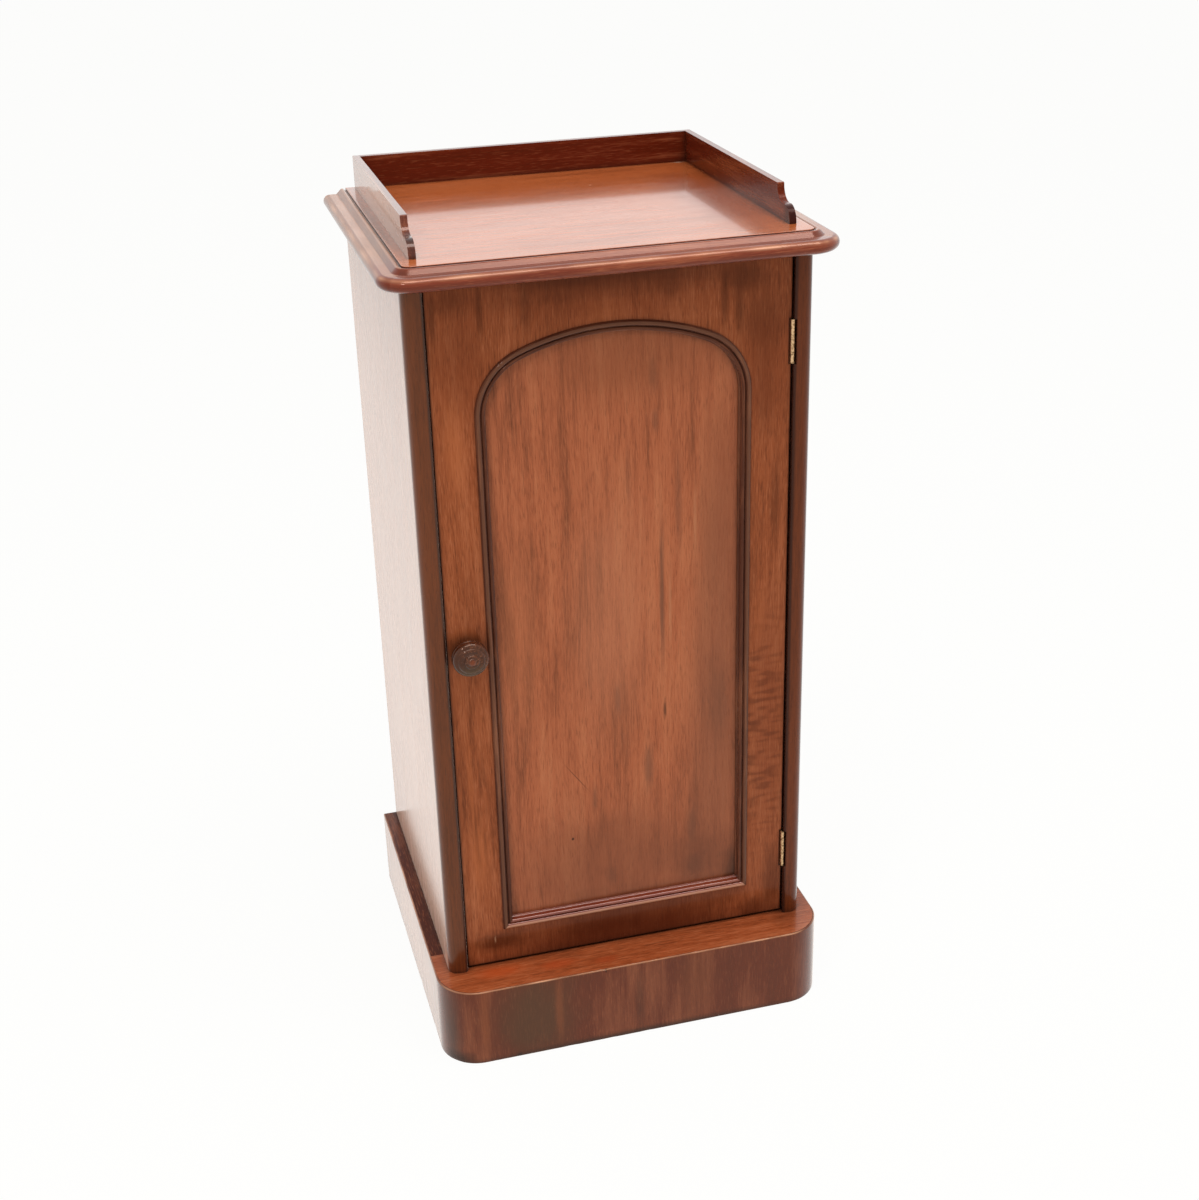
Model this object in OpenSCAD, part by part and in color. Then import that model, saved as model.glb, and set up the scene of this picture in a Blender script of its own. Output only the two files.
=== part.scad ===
// Bedside pot cupboard: a tall mahogany case on a plinth, with a moulded top, a low gallery and
// one arch-panelled door. X runs to the right, Y to the back and Z up. The origin is on the floor
// below the middle of the case. The door and its catch are drawn closed and released.

/* [Plinth] */
// Width over the plinth
plinth_w = 400; // [380:1:440]
// Depth from the front of the plinth to the back of the cupboard
plinth_d = 360; // [340:1:400]
// Height of the plinth
plinth_h = 86; // [70:1:110]
// Radius of the plinth's two front corners
plinth_corner_r = 39; // [20:1:44]
// Thickness of the cross-grained facing round the plinth
facing_t = 1.6; // [1:0.1:3]
// Thickness of the plinth's softwood rails
rail_t = 20; // [14:1:26]
// Thickness of the strips that cap the plinth
cap_t = 8; // [5:1:12]
// Depth of the front capping strip
cap_front_d = 74; // [66:1:90]
// How far the side capping strips reach in past the inner faces of the case
cap_lap = 14; // [12:1:30]
// Side of the solid blocks in the plinth's front corners
corner_block = 46; // [45:1:60]

/* [Case] */
// Width over the two sides of the case
case_w = 371; // [350:1:374]
// Height of the case, from the plinth to the underside of the top
case_h = 700.5; // [600:1:800]
// Distance from the front of the plinth to the front edge of the sides
case_setback = 37.5; // [20:0.5:45]
// Thickness of the two sides
side_t = 18.5; // [16:0.5:24]
// Radius of the outer front corner of each side
stile_outer_r = 10; // [4:0.5:12]
// Radius of the inner front corner of each side
stile_inner_r = 3; // [0.5:0.5:4]
// Thickness of the bottom board and of the two top rails
board_t = 18; // [14:1:24]
// Depth of the housings that hold the bottom board
housing_d = 6; // [4:0.5:9]
// Depth of the front top rail
front_rail_d = 60; // [40:1:80]
// Depth of the back top rail
back_rail_d = 50; // [36:1:70]
// Thickness of the back boards
back_t = 10; // [8:1:14]
// Width of the rebate that holds the back boards
back_rebate_w = 9; // [6:0.5:12]
// Lap of one back board over the next
back_lap = 8; // [5:1:12]
// Height of the shelf's underside above the bottom board
shelf_rise = 330; // [250:5:380]
// Thickness of the shelf
shelf_t = 12; // [9:1:18]
// Width of the bearers under the shelf
bearer_w = 12; // [9:1:18]
// Height of the bearers under the shelf
bearer_h = 20; // [14:1:30]

/* [Top and gallery] */
// Thickness of the top at its flat field
top_t = 18; // [16:0.5:24]
// Thickness of the rounded nose
nose_t = 12.6; // [9:0.2:13]
// Width of the flat field of the top
field_w = 366; // [354:1:372]
// Distance from the plinth's front back to the front edge of the field
field_setback = 31; // [26:1:45]
// Radius of the field's front corners
field_corner_r = 8; // [4:1:16]
// Reach of the edge moulding beyond the field
edge_reach = 22.5; // [20:0.5:30]
// Radius of the small ovolo next to the field
ovolo_r = 2.6; // [2:0.1:3]
// Radius of the cove between the ovolo and the nose
cove_r = 2.2; // [1:0.1:3]
// Width of the quirk between the field and the ovolo
quirk_w = 0.9; // [0.6:0.1:2]
// Depth of that quirk
quirk_d = 2.1; // [1.4:0.1:2.6]
// Height of the gallery above the field
gallery_h = 30.5; // [29:0.5:45]
// Thickness of the gallery boards
gallery_t = 6.5; // [5:0.5:9]
// Width over the gallery
gallery_w = 347; // [320:1:350]
// Distance from the field's front edge to the foot of the gallery's scroll
gallery_setback = 25; // [10:0.5:60]
// Depth of the grooves in the top that hold the gallery
gallery_sink = 1.5; // [1:0.5:4]
// Radius of the two arcs of the scroll
scroll_r = 14; // [10:0.5:14]

/* [Door] */
// Thickness of the door frame, with its veneer
door_t = 20; // [18:0.5:24]
// Thickness of the veneer on the front of the door
veneer_t = 1; // [0.6:0.1:1.5]
// How far the sides stand proud of the door
stile_proud = 5.5; // [3:0.5:8]
// Gap along the lock edge of the door
lock_gap = 1; // [0.8:0.1:2]
// Gap along the hinge edge of the door
hinge_gap = 0.8; // [0.6:0.1:1.2]
// Gap under the door
foot_gap = 2; // [1:0.5:4]
// Gap over the door
head_gap = 1.5; // [1:0.5:4]
// Bevel on the lock edge, so that the door clears the side
lock_bevel = 1; // [0.8:0.1:2]
// Half of the width over the panel moulding
arch_half_w = 128; // [115:1:132]
// Radius of the moulding's outer line at each shoulder
shoulder_r = 64; // [50:1:70]
// Radius of the moulding's outer line over the crown
crown_r = 235; // [180:1:300]
// Wood between the crown of the moulding and the top of the door
crown_margin = 47.5; // [40:0.5:60]
// Wood between the moulding and the foot of the door
foot_margin = 38; // [34:0.5:50]
// Depth of the panel's face behind the face of the door
panel_recess = 5.5; // [4:0.5:7]
// Thickness of the panel
panel_t = 7; // [5:0.5:8]
// Length of the tenons on the rails
tenon_l = 28; // [15:1:30]

/* [Panel moulding] */
// Width of the lip that the moulding lays over the frame
mould_lip = 5; // [4:0.5:6]
// Radius of the outer bead
outer_bead_r = 2.7; // [2:0.1:3]
// Radius of the inner bead
inner_bead_r = 1.8; // [1.2:0.1:2.2]
// Width of the moulding's foot against the panel, past the inner bead
mould_foot = 1.4; // [0.8:0.1:2]

/* [Hinges] */
// Length of each butt hinge
hinge_l = 41; // [38:1:50]
// Radius of the hinge knuckles
knuckle_r = 2.2; // [2:0.1:2.6]
// Radius of the hinge pins
pin_r = 1; // [0.8:0.1:1.2]
// Thickness of the hinge leaves
leaf_t = 1.2; // [1:0.1:1.4]
// Width of the hinge leaves
leaf_w = 16; // [14:1:17]
// How far the pin's centre stands in front of the door
pin_proud = 1.5; // [1.2:0.1:2]
// Height of the lower hinge's foot above the foot of the door
low_hinge_rise = 55.5; // [45:0.5:90]
// Drop of the upper hinge's top below the top of the door
high_hinge_drop = 62.5; // [45:0.5:90]

/* [Knob and catch] */
// Radius of the knob at its rim
knob_r = 17; // [14:0.5:19]
// How far the knob stands out of the door
knob_reach = 26; // [24:0.5:32]
// Height of the knob above the foot of the door
knob_rise = 350; // [300:1:400]
// Radius of the catch spindle
spindle_r = 3.5; // [3:0.1:4]
// Length of the catch tongue from the middle of the spindle
tongue_l = 30; // [28:0.5:31]
// Width of the catch tongue
tongue_w = 11; // [8:0.5:12]
// Thickness of the catch tongue
tongue_t = 3; // [2:0.2:3.4]

/* [Clearances] */
// Play of a shaft or hinge pin in its hole, on the radius
running_fit = 0.05; // [0.02:0.01:0.09]
// Play between pieces of joinery
joinery_fit = 0.1; // [0.05:0.05:0.2]
// Gap between parts that move past one another
moving_gap = 0.3; // [0.2:0.1:0.5]

/* [Hidden] */
$fn = 64;
mahogany = "#8a4526";
dark_mahogany = "#552a1c";
pale_mahogany = "#a35b38";
softwood = "#b98d5a";
brass = "#c9a55a";
iron = "#6b6560";
overcut = 1;                    // how far a cutter runs past the face that it cuts

// heights
case_z = plinth_h;
top_z = case_z + case_h;
field_z = top_z + top_t;
gallery_z = field_z + gallery_h;
rail_z = top_z - board_t;
shelf_z = case_z + board_t + shelf_rise;
// depths
front_y = -plinth_d / 2;
back_y = plinth_d / 2;
stile_y = front_y + case_setback;
door_y = stile_y + stile_proud;
frame_y = door_y + veneer_t;
door_back_y = door_y + door_t;
stop_gap = 0.5;
stop_y = door_back_y + stop_gap;        // the bottom board and the front rail stop the door here
back_inner_y = back_y - back_t;
// widths
plinth_x = plinth_w / 2;
case_x = case_w / 2;
inner_x = case_x - side_t;
field_x = field_w / 2;
field_y = front_y + field_setback;
door_lock_x = -inner_x + lock_gap;
door_hinge_x = inner_x - hinge_gap;
door_z = case_z + foot_gap;
door_top_z = top_z - head_gap;
// the knob stands in the middle of the lock stile, and the catch's tongue behind the door
knob_x = (door_lock_x - arch_half_w) / 2;
knob_z = door_z + knob_rise;
tongue_gap = 0.8;
tongue_y = door_back_y + tongue_gap;

function polar(r, angle) = [r * cos(angle), r * sin(angle)];

module slab(lo, hi) { translate(lo) cube(hi - lo); }

// the slice of a disc between two angles, up to half a turn apart
module pie(centre, r, from, to) {
    translate(centre) intersection() {
        circle(r);
        polygon([[0, 0], polar(1.6 * r, from), polar(1.6 * r, (from + to) / 2), polar(1.6 * r, to)]);
    }
}
// the hollow fillet between two lines that leave a disc at two angles and meet at a corner
module cove_fill(centre, r, from, corner, to) {
    difference() {
        polygon([centre + polar(r, from), corner, centre + polar(r, to)]);
        translate(centre) circle(r);
    }
}
// a plan outline with its two front corners rounded, extruded upwards. The round corners may
// stand back from the outline by a glue line.
module round_front(x, y_front, y_back, r, z_lo, z_hi, glue_line = 0) {
    translate([0, 0, z_lo]) linear_extrude(z_hi - z_lo) union() {
        translate([-x, y_front + r]) square([2 * x, y_back - y_front - r]);
        translate([-x + r, y_front]) square([2 * (x - r), r]);
        pie([x - r, y_front + r], r - glue_line, -90, 0);
        pie([r - x, y_front + r], r - glue_line, 180, 270);
    }
}

// a countersunk wood screw that points along +Z, with the face of its head at z = 0
module wood_screw(r, head_r, len) {
    rotate_extrude() polygon([[0, 0], [head_r, 0], [head_r, 0.3], [r, head_r - r + 0.3],
                              [r, len - 2 * r], [0, len]]);
}
module screw_hole(r, head_r, len) {
    translate([0, 0, -overcut]) cylinder(r = head_r + joinery_fit, h = overcut);
    rotate_extrude() polygon([[0, 0], [head_r + joinery_fit, 0],
                              [head_r + joinery_fit, 0.3 + joinery_fit],
                              [r + joinery_fit, head_r - r + 0.3 + joinery_fit],
                              [r + joinery_fit, len + joinery_fit], [0, len + joinery_fit]]);
}

/* ---- plinth ---- */
core_x = plinth_x - facing_t;
core_y = front_y + facing_t;
core_r = plinth_corner_r - facing_t;
cap_z = plinth_h - cap_t;
block_x = core_x - corner_block;
block_y = core_y + corner_block;
cap_front_y = front_y + cap_front_d;
plinth_screw_r = 2;
plinth_screw_head = 4;
plinth_screw_cover = 4;         // wood left over the point of each screw
plinth_screw_l = cap_t + board_t - plinth_screw_cover;
// each screw stands in the strip where a side cap lies under the bottom board
cap_in_x = inner_x - cap_lap;
plinth_screw_x = inner_x - cap_lap / 2;
function plinth_screw_places() =
    [for (side = [-1, 1]) for (t = [0.12, 0.5, 0.88])
        [side * plinth_screw_x, cap_front_y + t * (back_inner_y - cap_front_y), cap_z]];

module plinth_core(x_lo, x_hi, y_lo, y_hi, z_lo, z_hi) {
    intersection() {
        round_front(core_x, core_y, back_y, core_r, z_lo, z_hi, moving_gap);
        slab([x_lo, y_lo, z_lo], [x_hi, y_hi, z_hi]);
    }
}
module plinth_front_rail() {
    color(softwood) slab([-block_x, core_y, 0], [block_x, core_y + rail_t, cap_z]);
}
module plinth_side_rail(side) {
    color(softwood) slab([side > 0 ? core_x - rail_t : -core_x, block_y, 0],
                         [side > 0 ? core_x : -core_x + rail_t, back_y, cap_z]);
}
module plinth_left_rail() { plinth_side_rail(-1); }
module plinth_right_rail() { plinth_side_rail(1); }
// the back rail rises between the side caps to carry the back
module plinth_back_rail() {
    color(softwood) union() {
        slab([-core_x + rail_t, back_y - rail_t, 0], [core_x - rail_t, back_y, cap_z]);
        slab([-cap_in_x, back_y - rail_t, 0], [cap_in_x, back_y, plinth_h]);
    }
}
module plinth_corner_left() {
    color(softwood) plinth_core(-core_x, -block_x, core_y, block_y, 0, cap_z);
}
module plinth_corner_right() {
    color(softwood) plinth_core(block_x, core_x, core_y, block_y, 0, cap_z);
}
module plinth_facing() {
    color(mahogany) difference() {
        round_front(plinth_x, front_y, back_y, plinth_corner_r, 0, plinth_h);
        round_front(core_x, core_y, back_y + overcut, core_r, -overcut, plinth_h + overcut);
    }
}
module plinth_cap_front() {
    color(pale_mahogany) plinth_core(-core_x, core_x, core_y, cap_front_y, cap_z, plinth_h);
}
module plinth_cap_side(side) {
    color(pale_mahogany) difference() {
        slab([side > 0 ? cap_in_x : -core_x, cap_front_y, cap_z],
             [side > 0 ? core_x : -cap_in_x, back_y, plinth_h]);
        for (p = plinth_screw_places()) if (p[0] * side > 0)
            translate(p) screw_hole(plinth_screw_r, plinth_screw_head, plinth_screw_l);
    }
}
module plinth_cap_left() { plinth_cap_side(-1); }
module plinth_cap_right() { plinth_cap_side(1); }
module plinth_screws() {
    color(iron) for (p = plinth_screw_places())
        translate(p) wood_screw(plinth_screw_r, plinth_screw_head, plinth_screw_l);
}
plinth_block_size = 24;
plinth_block_short = 6;
plinth_block_l = cap_z - plinth_block_short;
module plinth_glue_blocks() {
    color(softwood) {
        // upright in the two back corners, and one along the middle of the front rail
        for (side = [-1, 1])
            translate([side * (core_x - rail_t), back_y - rail_t, cap_z - plinth_block_l])
                linear_extrude(plinth_block_l)
                    polygon([[0, 0], [-side * plinth_block_size, 0], [0, -plinth_block_size]]);
        translate([-plinth_block_l / 2, core_y + rail_t, cap_z]) rotate([0, 90, 0])
            linear_extrude(plinth_block_l)
                polygon([[0, 0], [plinth_block_size, 0], [0, plinth_block_size]]);
    }
}

/* ---- case ---- */
tail_l = 10;                    // reach of a dovetail into a side
tail_t = 11;                    // thickness of a dovetail
tail_flare = 4;                 // how much wider a dovetail is at its end, on each side
tail_inset = 10;                // shoulder of a rail on each side of its dovetail
nail_r = 1;
nail_head_r = 2;
nail_head_t = 1;
nail_hold = 22;                 // depth of a nail in the board behind
nail_l = back_t + nail_hold;
bearer_screw_r = 1.5;
bearer_screw_head = 3;
bearer_screw_hold = 8;
bearer_screw_l = bearer_w + bearer_screw_hold;
shelf_setback = 20;
bearer_setback = 6;
shelf_front_y = door_back_y + shelf_setback;
back_w = 2 * (inner_x + back_rebate_w - joinery_fit);

// plan of a dovetail that starts at x = 0 and points along +X, centred on y = 0
module tail_plan(len, root_w, play) {
    polygon([[-overcut * play, -root_w / 2 - play], [len + play, -root_w / 2 - tail_flare - play],
             [len + play, root_w / 2 + tail_flare + play], [-overcut * play, root_w / 2 + play]]);
}
module rail_tails(mid_y, rail_d, play) {
    for (side = [-1, 1])
        translate([side * inner_x, mid_y, top_z - tail_t - play]) rotate([0, 0, side > 0 ? 0 : 180])
            linear_extrude(tail_t + play + (play > 0 ? overcut : 0))
                tail_plan(tail_l, rail_d - 2 * tail_inset - 2 * tail_flare, play);
}
front_rail_mid = stop_y + front_rail_d / 2;
back_rail_mid = back_inner_y - back_rail_d / 2;
module top_rail(mid_y, rail_d) {
    difference() {
        union() {
            slab([-inner_x, mid_y - rail_d / 2, rail_z], [inner_x, mid_y + rail_d / 2, top_z]);
            rail_tails(mid_y, rail_d, 0);
        }
        for (p = top_screw_places()) translate(p) screw_hole(top_screw_r, top_screw_head, top_screw_l);
    }
}
module top_front_rail() { color(softwood) top_rail(front_rail_mid, front_rail_d); }
module top_back_rail() {
    color(softwood) difference() {
        top_rail(back_rail_mid, back_rail_d);
        nails(joinery_fit);
    }
}

// plan of the right side: a board with a round outer front corner, an eased inner one, and a
// rebate for the back boards
module side_plan() {
    round_y = stile_y + stile_outer_r;
    translate([inner_x, round_y]) square([side_t, back_inner_y - round_y]);
    translate([inner_x + back_rebate_w, back_inner_y]) square([side_t - back_rebate_w, back_t]);
    translate([inner_x + stile_inner_r, stile_y])
        square([side_t - stile_inner_r - stile_outer_r, stile_outer_r]);
    translate([inner_x, stile_y + stile_inner_r])
        square([stile_inner_r, stile_outer_r - stile_inner_r]);
    pie([case_x - stile_outer_r, round_y], stile_outer_r, -90, 0);
    pie([inner_x + stile_inner_r, stile_y + stile_inner_r], stile_inner_r, 180, 270);
}
module case_side() {
    difference() {
        translate([0, 0, case_z]) linear_extrude(case_h) side_plan();
        // housing for the bottom board
        slab([inner_x - overcut, stop_y, case_z - overcut],
             [inner_x + housing_d, back_inner_y, case_z + board_t]);
        rail_tails(front_rail_mid, front_rail_d, joinery_fit);
        rail_tails(back_rail_mid, back_rail_d, joinery_fit);
        for (p = bearer_screw_places()) translate(p) rotate([0, 90, 0])
            screw_hole(bearer_screw_r, bearer_screw_head, bearer_screw_l);
    }
}
// the right side also carries the hinges, and the left side the catch's mortise
module right_side() {
    color(mahogany) difference() {
        case_side();
        for (z = hinge_foots()) {
            knuckle_clearance(z, inner_x - overcut, pin_x + knuckle_r + knuckle_play);
            leaf_housing(z, inner_x - overcut, inner_x + leaf_t);
            for (p = hinge_screw_places(z)) translate([inner_x, p[0], p[1]]) rotate([0, 90, 0])
                screw_hole(hinge_screw_r, hinge_screw_head, hinge_screw_l);
        }
    }
}
mortise_play = 1.2;
mortise_d = tongue_l - (knob_x + inner_x) + mortise_play;
mortise_y = tongue_y - mortise_play;
mortise_back_y = tongue_y + tongue_t + mortise_play;
mortise_z = [knob_z - tongue_w / 2 - mortise_play, knob_z + 0.9 * tongue_l];
module left_side() {
    color(mahogany) difference() {
        mirror([1, 0, 0]) case_side();
        slab([-inner_x - mortise_d, mortise_y, mortise_z[0]],
             [-inner_x + overcut, mortise_back_y, mortise_z[1]]);
    }
}
module bottom_board() {
    color(softwood) difference() {
        slab([-inner_x - housing_d, stop_y, case_z],
             [inner_x + housing_d, back_inner_y, case_z + board_t]);
        nails(joinery_fit);
        for (p = plinth_screw_places())
            translate(p) screw_hole(plinth_screw_r, plinth_screw_head, plinth_screw_l);
    }
}

// the back is three upright boards, half-lapped on their edges and nailed at top and bottom
board_w = back_w / 3;
function nail_places() =
    [for (t = [0.08, 0.25, 0.42, 0.58, 0.75, 0.92]) for (z = [case_z, top_z - board_t])
        [(t - 0.5) * back_w, back_y, z + board_t / 2]];
module nails(play) {
    for (p = nail_places()) translate(p) rotate([90, 0, 0]) {
        translate([0, 0, -play]) cylinder(r = nail_head_r + play, h = nail_head_t + 2 * play);
        cylinder(r = nail_r + play, h = nail_l + play);
    }
}
module back_board(i) {
    lo = -back_w / 2 + i * board_w;
    hi = lo + board_w;
    color(softwood) difference() {
        union() {
            slab([lo + (i > 0 ? joinery_fit : 0), back_inner_y, case_z], [hi, back_y, top_z]);
            if (i < 2) slab([lo + back_lap, back_inner_y, case_z],
                            [hi + back_lap, back_y - back_t / 2, top_z]);
        }
        if (i > 0) slab([lo - overcut, back_inner_y - overcut, case_z - overcut],
                        [lo + back_lap + joinery_fit, back_y - back_t / 2 + joinery_fit, top_z + overcut]);
        nails(joinery_fit);
    }
}
module back_board_left() { back_board(0); }
module back_board_middle() { back_board(1); }
module back_board_right() { back_board(2); }
module back_nails() { color(iron) nails(0); }

module shelf() {
    color(softwood) slab([-inner_x + joinery_fit, shelf_front_y, shelf_z],
                         [inner_x - joinery_fit, back_inner_y, shelf_z + shelf_t]);
}
// on the right side; the left side is its mirror image
function bearer_screw_places() =
    [for (t = [0.15, 0.85])
        [inner_x - bearer_w, shelf_front_y + t * (back_inner_y - shelf_front_y), shelf_z - bearer_h / 2]];
module shelf_bearer_right() {
    color(softwood) difference() {
        slab([inner_x - bearer_w, shelf_front_y + bearer_setback, shelf_z - bearer_h],
             [inner_x, back_inner_y, shelf_z]);
        for (p = bearer_screw_places()) translate(p) rotate([0, 90, 0])
            screw_hole(bearer_screw_r, bearer_screw_head, bearer_screw_l);
    }
}
module shelf_bearer_left() { mirror([1, 0, 0]) shelf_bearer_right(); }
module bearer_screws() {
    color(iron) for (side = [0, 1]) mirror([side, 0, 0]) for (p = bearer_screw_places())
        translate(p) rotate([0, 90, 0]) wood_screw(bearer_screw_r, bearer_screw_head, bearer_screw_l);
}

/* ---- top and gallery ---- */
top_screw_r = 2.2;
top_screw_head = 4.4;
top_screw_cover = 6;            // wood left over the point of each screw
top_screw_l = board_t + top_t - top_screw_cover;
dowel_r = 1.5;
dowel_l = 22;
dowel_sink = 10;                // how much of a dowel is in the top
gallery_nib = 1.5;              // radius of the eased top corner of the scroll
gallery_foot = 1.2;             // upright part at the foot of the scroll
gallery_x = gallery_w / 2;
gallery_y = field_y + gallery_setback;
edge_x = field_x - field_corner_r;      // centres of the rounded front corners
edge_y = field_y + field_corner_r;

crown_drop = 0.5;               // the ovolo's crown below the field
// section of the top's edge, from the corner centre outwards: field, quirk, ovolo, a slope at
// 45 degrees, cove, and the rounded nose
module edge_section() {
    nose_r = nose_t / 2;
    nose_c = [field_corner_r + edge_reach - nose_r, nose_r];
    bead_z = top_t - crown_drop - ovolo_r;
    quirk_rise = top_t - quirk_d - bead_z;
    bead_c = [field_corner_r + quirk_w + sqrt(pow(ovolo_r, 2) - pow(quirk_rise, 2)), bead_z];
    slope_end = bead_c[0] + bead_c[1] + ovolo_r * sqrt(2) - nose_t;
    cove_c = [slope_end + cove_r * (sqrt(2) - 1), nose_t + cove_r];
    union() {
        square([nose_c[0], nose_t]);
        pie(nose_c, nose_r, -90, 90);
        cove_fill(cove_c, cove_r, 270, [slope_end, nose_t], 225);
        polygon([[0, nose_t], [slope_end, nose_t], bead_c + polar(ovolo_r, 45), bead_c,
                 bead_c + polar(ovolo_r, 180 - asin(quirk_rise / ovolo_r)),
                 [field_corner_r, top_t - quirk_d], [field_corner_r, top_t], [0, top_t]]);
        pie(bead_c, ovolo_r, 45, 180 - asin(quirk_rise / ovolo_r));
    }
}
function top_screw_places() =
    [for (x = [-0.65, 0, 0.65]) for (y = [front_rail_mid, back_rail_mid]) [x * inner_x, y, rail_z]];
function dowel_places() =
    concat([for (side = [-1, 1]) for (t = [0.15, 0.5, 0.85])
                [side * (gallery_x - gallery_t / 2), gallery_y + t * (back_y - gallery_y)]],
           [for (t = [-0.6, 0, 0.6]) [t * (gallery_x - gallery_t), back_y - gallery_t / 2]]);
module dowel_holes() {
    for (p = dowel_places()) translate([p[0], p[1], field_z - dowel_sink - joinery_fit])
        cylinder(r = dowel_r + running_fit, h = dowel_l + 2 * joinery_fit);
}
module gallery_grooves() {
    low = field_z - gallery_sink;
    high = field_z + overcut;
    for (side = [-1, 1])
        slab([side > 0 ? gallery_x - gallery_t : -gallery_x, gallery_y, low],
             [side > 0 ? gallery_x : -gallery_x + gallery_t, back_y + overcut, high]);
    slab([-gallery_x, back_y - gallery_t, low], [gallery_x, back_y + overcut, high]);
}
module moulded_top() {
    color(mahogany) difference() {
        translate([0, 0, top_z]) union() {
            slab([-edge_x, edge_y, 0], [edge_x, back_y, top_t]);
            translate([edge_x, edge_y, 0]) rotate([90, 0, -90]) linear_extrude(2 * edge_x) edge_section();
            translate([-edge_x, edge_y, 0]) rotate([90, 0, 180])
                linear_extrude(back_y - edge_y) edge_section();
            translate([edge_x, back_y, 0]) rotate([90, 0, 0])
                linear_extrude(back_y - edge_y) edge_section();
            for (side = [-1, 1]) translate([side * edge_x, edge_y, 0])
                rotate([0, 0, side > 0 ? -90 : 180]) rotate_extrude(angle = 90) edge_section();
        }
        for (p = top_screw_places())
            translate(p) screw_hole(top_screw_r, top_screw_head, top_screw_l);
        dowel_holes();
        gallery_grooves();
    }
}
module top_screws() {
    color(iron) for (p = top_screw_places())
        translate(p) wood_screw(top_screw_r, top_screw_head, top_screw_l);
}
top_block_size = 18;
top_block_l = 40;
module top_glue_blocks() {
    room = back_rail_mid - back_rail_d / 2 - (front_rail_mid + front_rail_d / 2);
    color(softwood) for (side = [-1, 1]) for (t = [0.28, 0.72])
        translate([side * inner_x, front_rail_mid + front_rail_d / 2 + t * room - top_block_l / 2, top_z])
            rotate([-90, 0, 0]) linear_extrude(top_block_l)
                polygon([[0, 0], [-side * top_block_size, 0], [0, top_block_size]]);
}

// side view of a gallery side: y to the back, z up from the field, with an ogee at its front end
module gallery_outline() {
    nib = gallery_nib;
    low = [gallery_y + scroll_r, gallery_foot];
    rise = gallery_h - nib - low[1];
    high = low + [sqrt(pow(2 * scroll_r, 2) - pow(rise, 2)), rise];
    lean = atan2(high[1] - low[1], high[0] - low[0]);
    front = high[0] + scroll_r;
    union() {
        translate([gallery_y, -gallery_sink]) square([back_y - gallery_y, gallery_sink]);
        translate([gallery_y, 0]) square([scroll_r, low[1]]);
        pie(low, scroll_r, lean, 180);
        difference() {
            polygon([[low[0], 0], [back_y, 0], [back_y, gallery_h], [front + nib, gallery_h],
                     [front + nib, high[1]], [front, high[1]], low + polar(scroll_r, lean), low]);
            translate(high) circle(scroll_r);
        }
        pie([front + nib, high[1]], nib, 90, 180);
    }
}
module gallery_side(side) {
    color(mahogany) difference() {
        translate([side > 0 ? gallery_x : -gallery_x + gallery_t, 0, field_z]) rotate([90, 0, -90])
            mirror([1, 0, 0]) linear_extrude(gallery_t) gallery_outline();
        dowel_holes();
    }
}
module gallery_left() { gallery_side(-1); }
module gallery_right() { gallery_side(1); }
module gallery_back() {
    color(mahogany) difference() {
        slab([-gallery_x + gallery_t, back_y - gallery_t, field_z - gallery_sink],
             [gallery_x - gallery_t, back_y, gallery_z]);
        dowel_holes();
    }
}
module gallery_dowels() {
    color(softwood) for (p = dowel_places())
        translate([p[0], p[1], field_z - dowel_sink]) cylinder(r = dowel_r, h = dowel_l);
}

/* ---- hinges ---- */
pin_x = inner_x - hinge_gap / 2;
pin_y = door_y - pin_proud;
knuckle_play = 0.4;
knuckles = 5;
knuckle_gap = 0.2;
hinge_screw_r = 1.4;
hinge_screw_head = 2.8;
hinge_screw_l = 13;
leaf_y = pin_y + knuckle_r + moving_gap;
leaf_back_y = pin_y + leaf_w;
function hinge_foots() = [door_z + low_hinge_rise, door_top_z - high_hinge_drop - hinge_l];
function hinge_screw_places(z) = [for (t = [0.25, 0.75]) [(leaf_y + leaf_back_y) / 2, z + t * hinge_l]];

// cutters: room for the knuckles between two values of x, and the recess for a leaf
module knuckle_clearance(z, x_lo, x_hi) {
    slab([x_lo, stile_y - overcut, z - moving_gap],
         [x_hi, pin_y + knuckle_r + knuckle_play, z + hinge_l + moving_gap]);
}
module leaf_housing(z, x_lo, x_hi) {
    slab([x_lo, leaf_y - overcut, z], [x_hi, leaf_back_y, z + hinge_l]);
}
// a leaf lies from x_lo to x_hi and holds the knuckles that start at first, every second one
module hinge_leaf(z, x_lo, x_hi, first, screw_turn) {
    pitch = hinge_l / knuckles;
    color(brass) difference() {
        union() {
            slab([x_lo, leaf_y, z], [x_hi, leaf_back_y, z + hinge_l]);
            for (i = [first:2:knuckles - 1]) {
                slab([x_lo, pin_y, z + i * pitch + knuckle_gap / 2],
                     [x_hi, leaf_y + leaf_t, z + (i + 1) * pitch - knuckle_gap / 2]);
                translate([pin_x, pin_y, z + i * pitch + knuckle_gap / 2])
                    cylinder(r = knuckle_r, h = pitch - knuckle_gap);
            }
        }
        translate([pin_x, pin_y, z - overcut])
            cylinder(r = pin_r + running_fit, h = hinge_l + 2 * overcut);
        for (p = hinge_screw_places(z))
            translate([screw_turn > 0 ? inner_x : door_hinge_x, p[0], p[1]])
                rotate([0, 90 * screw_turn, 0])
                    screw_hole(hinge_screw_r, hinge_screw_head, hinge_screw_l);
    }
}
module hinge_case_leaf(z) { hinge_leaf(z, inner_x, inner_x + leaf_t, 0, 1); }
module hinge_door_leaf(z) { hinge_leaf(z, door_hinge_x - leaf_t, door_hinge_x, 1, -1); }
module hinge_pin(z) {
    color(brass) translate([pin_x, pin_y, z]) cylinder(r = pin_r, h = hinge_l);
}
module lower_hinge_case_leaf() { hinge_case_leaf(hinge_foots()[0]); }
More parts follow.
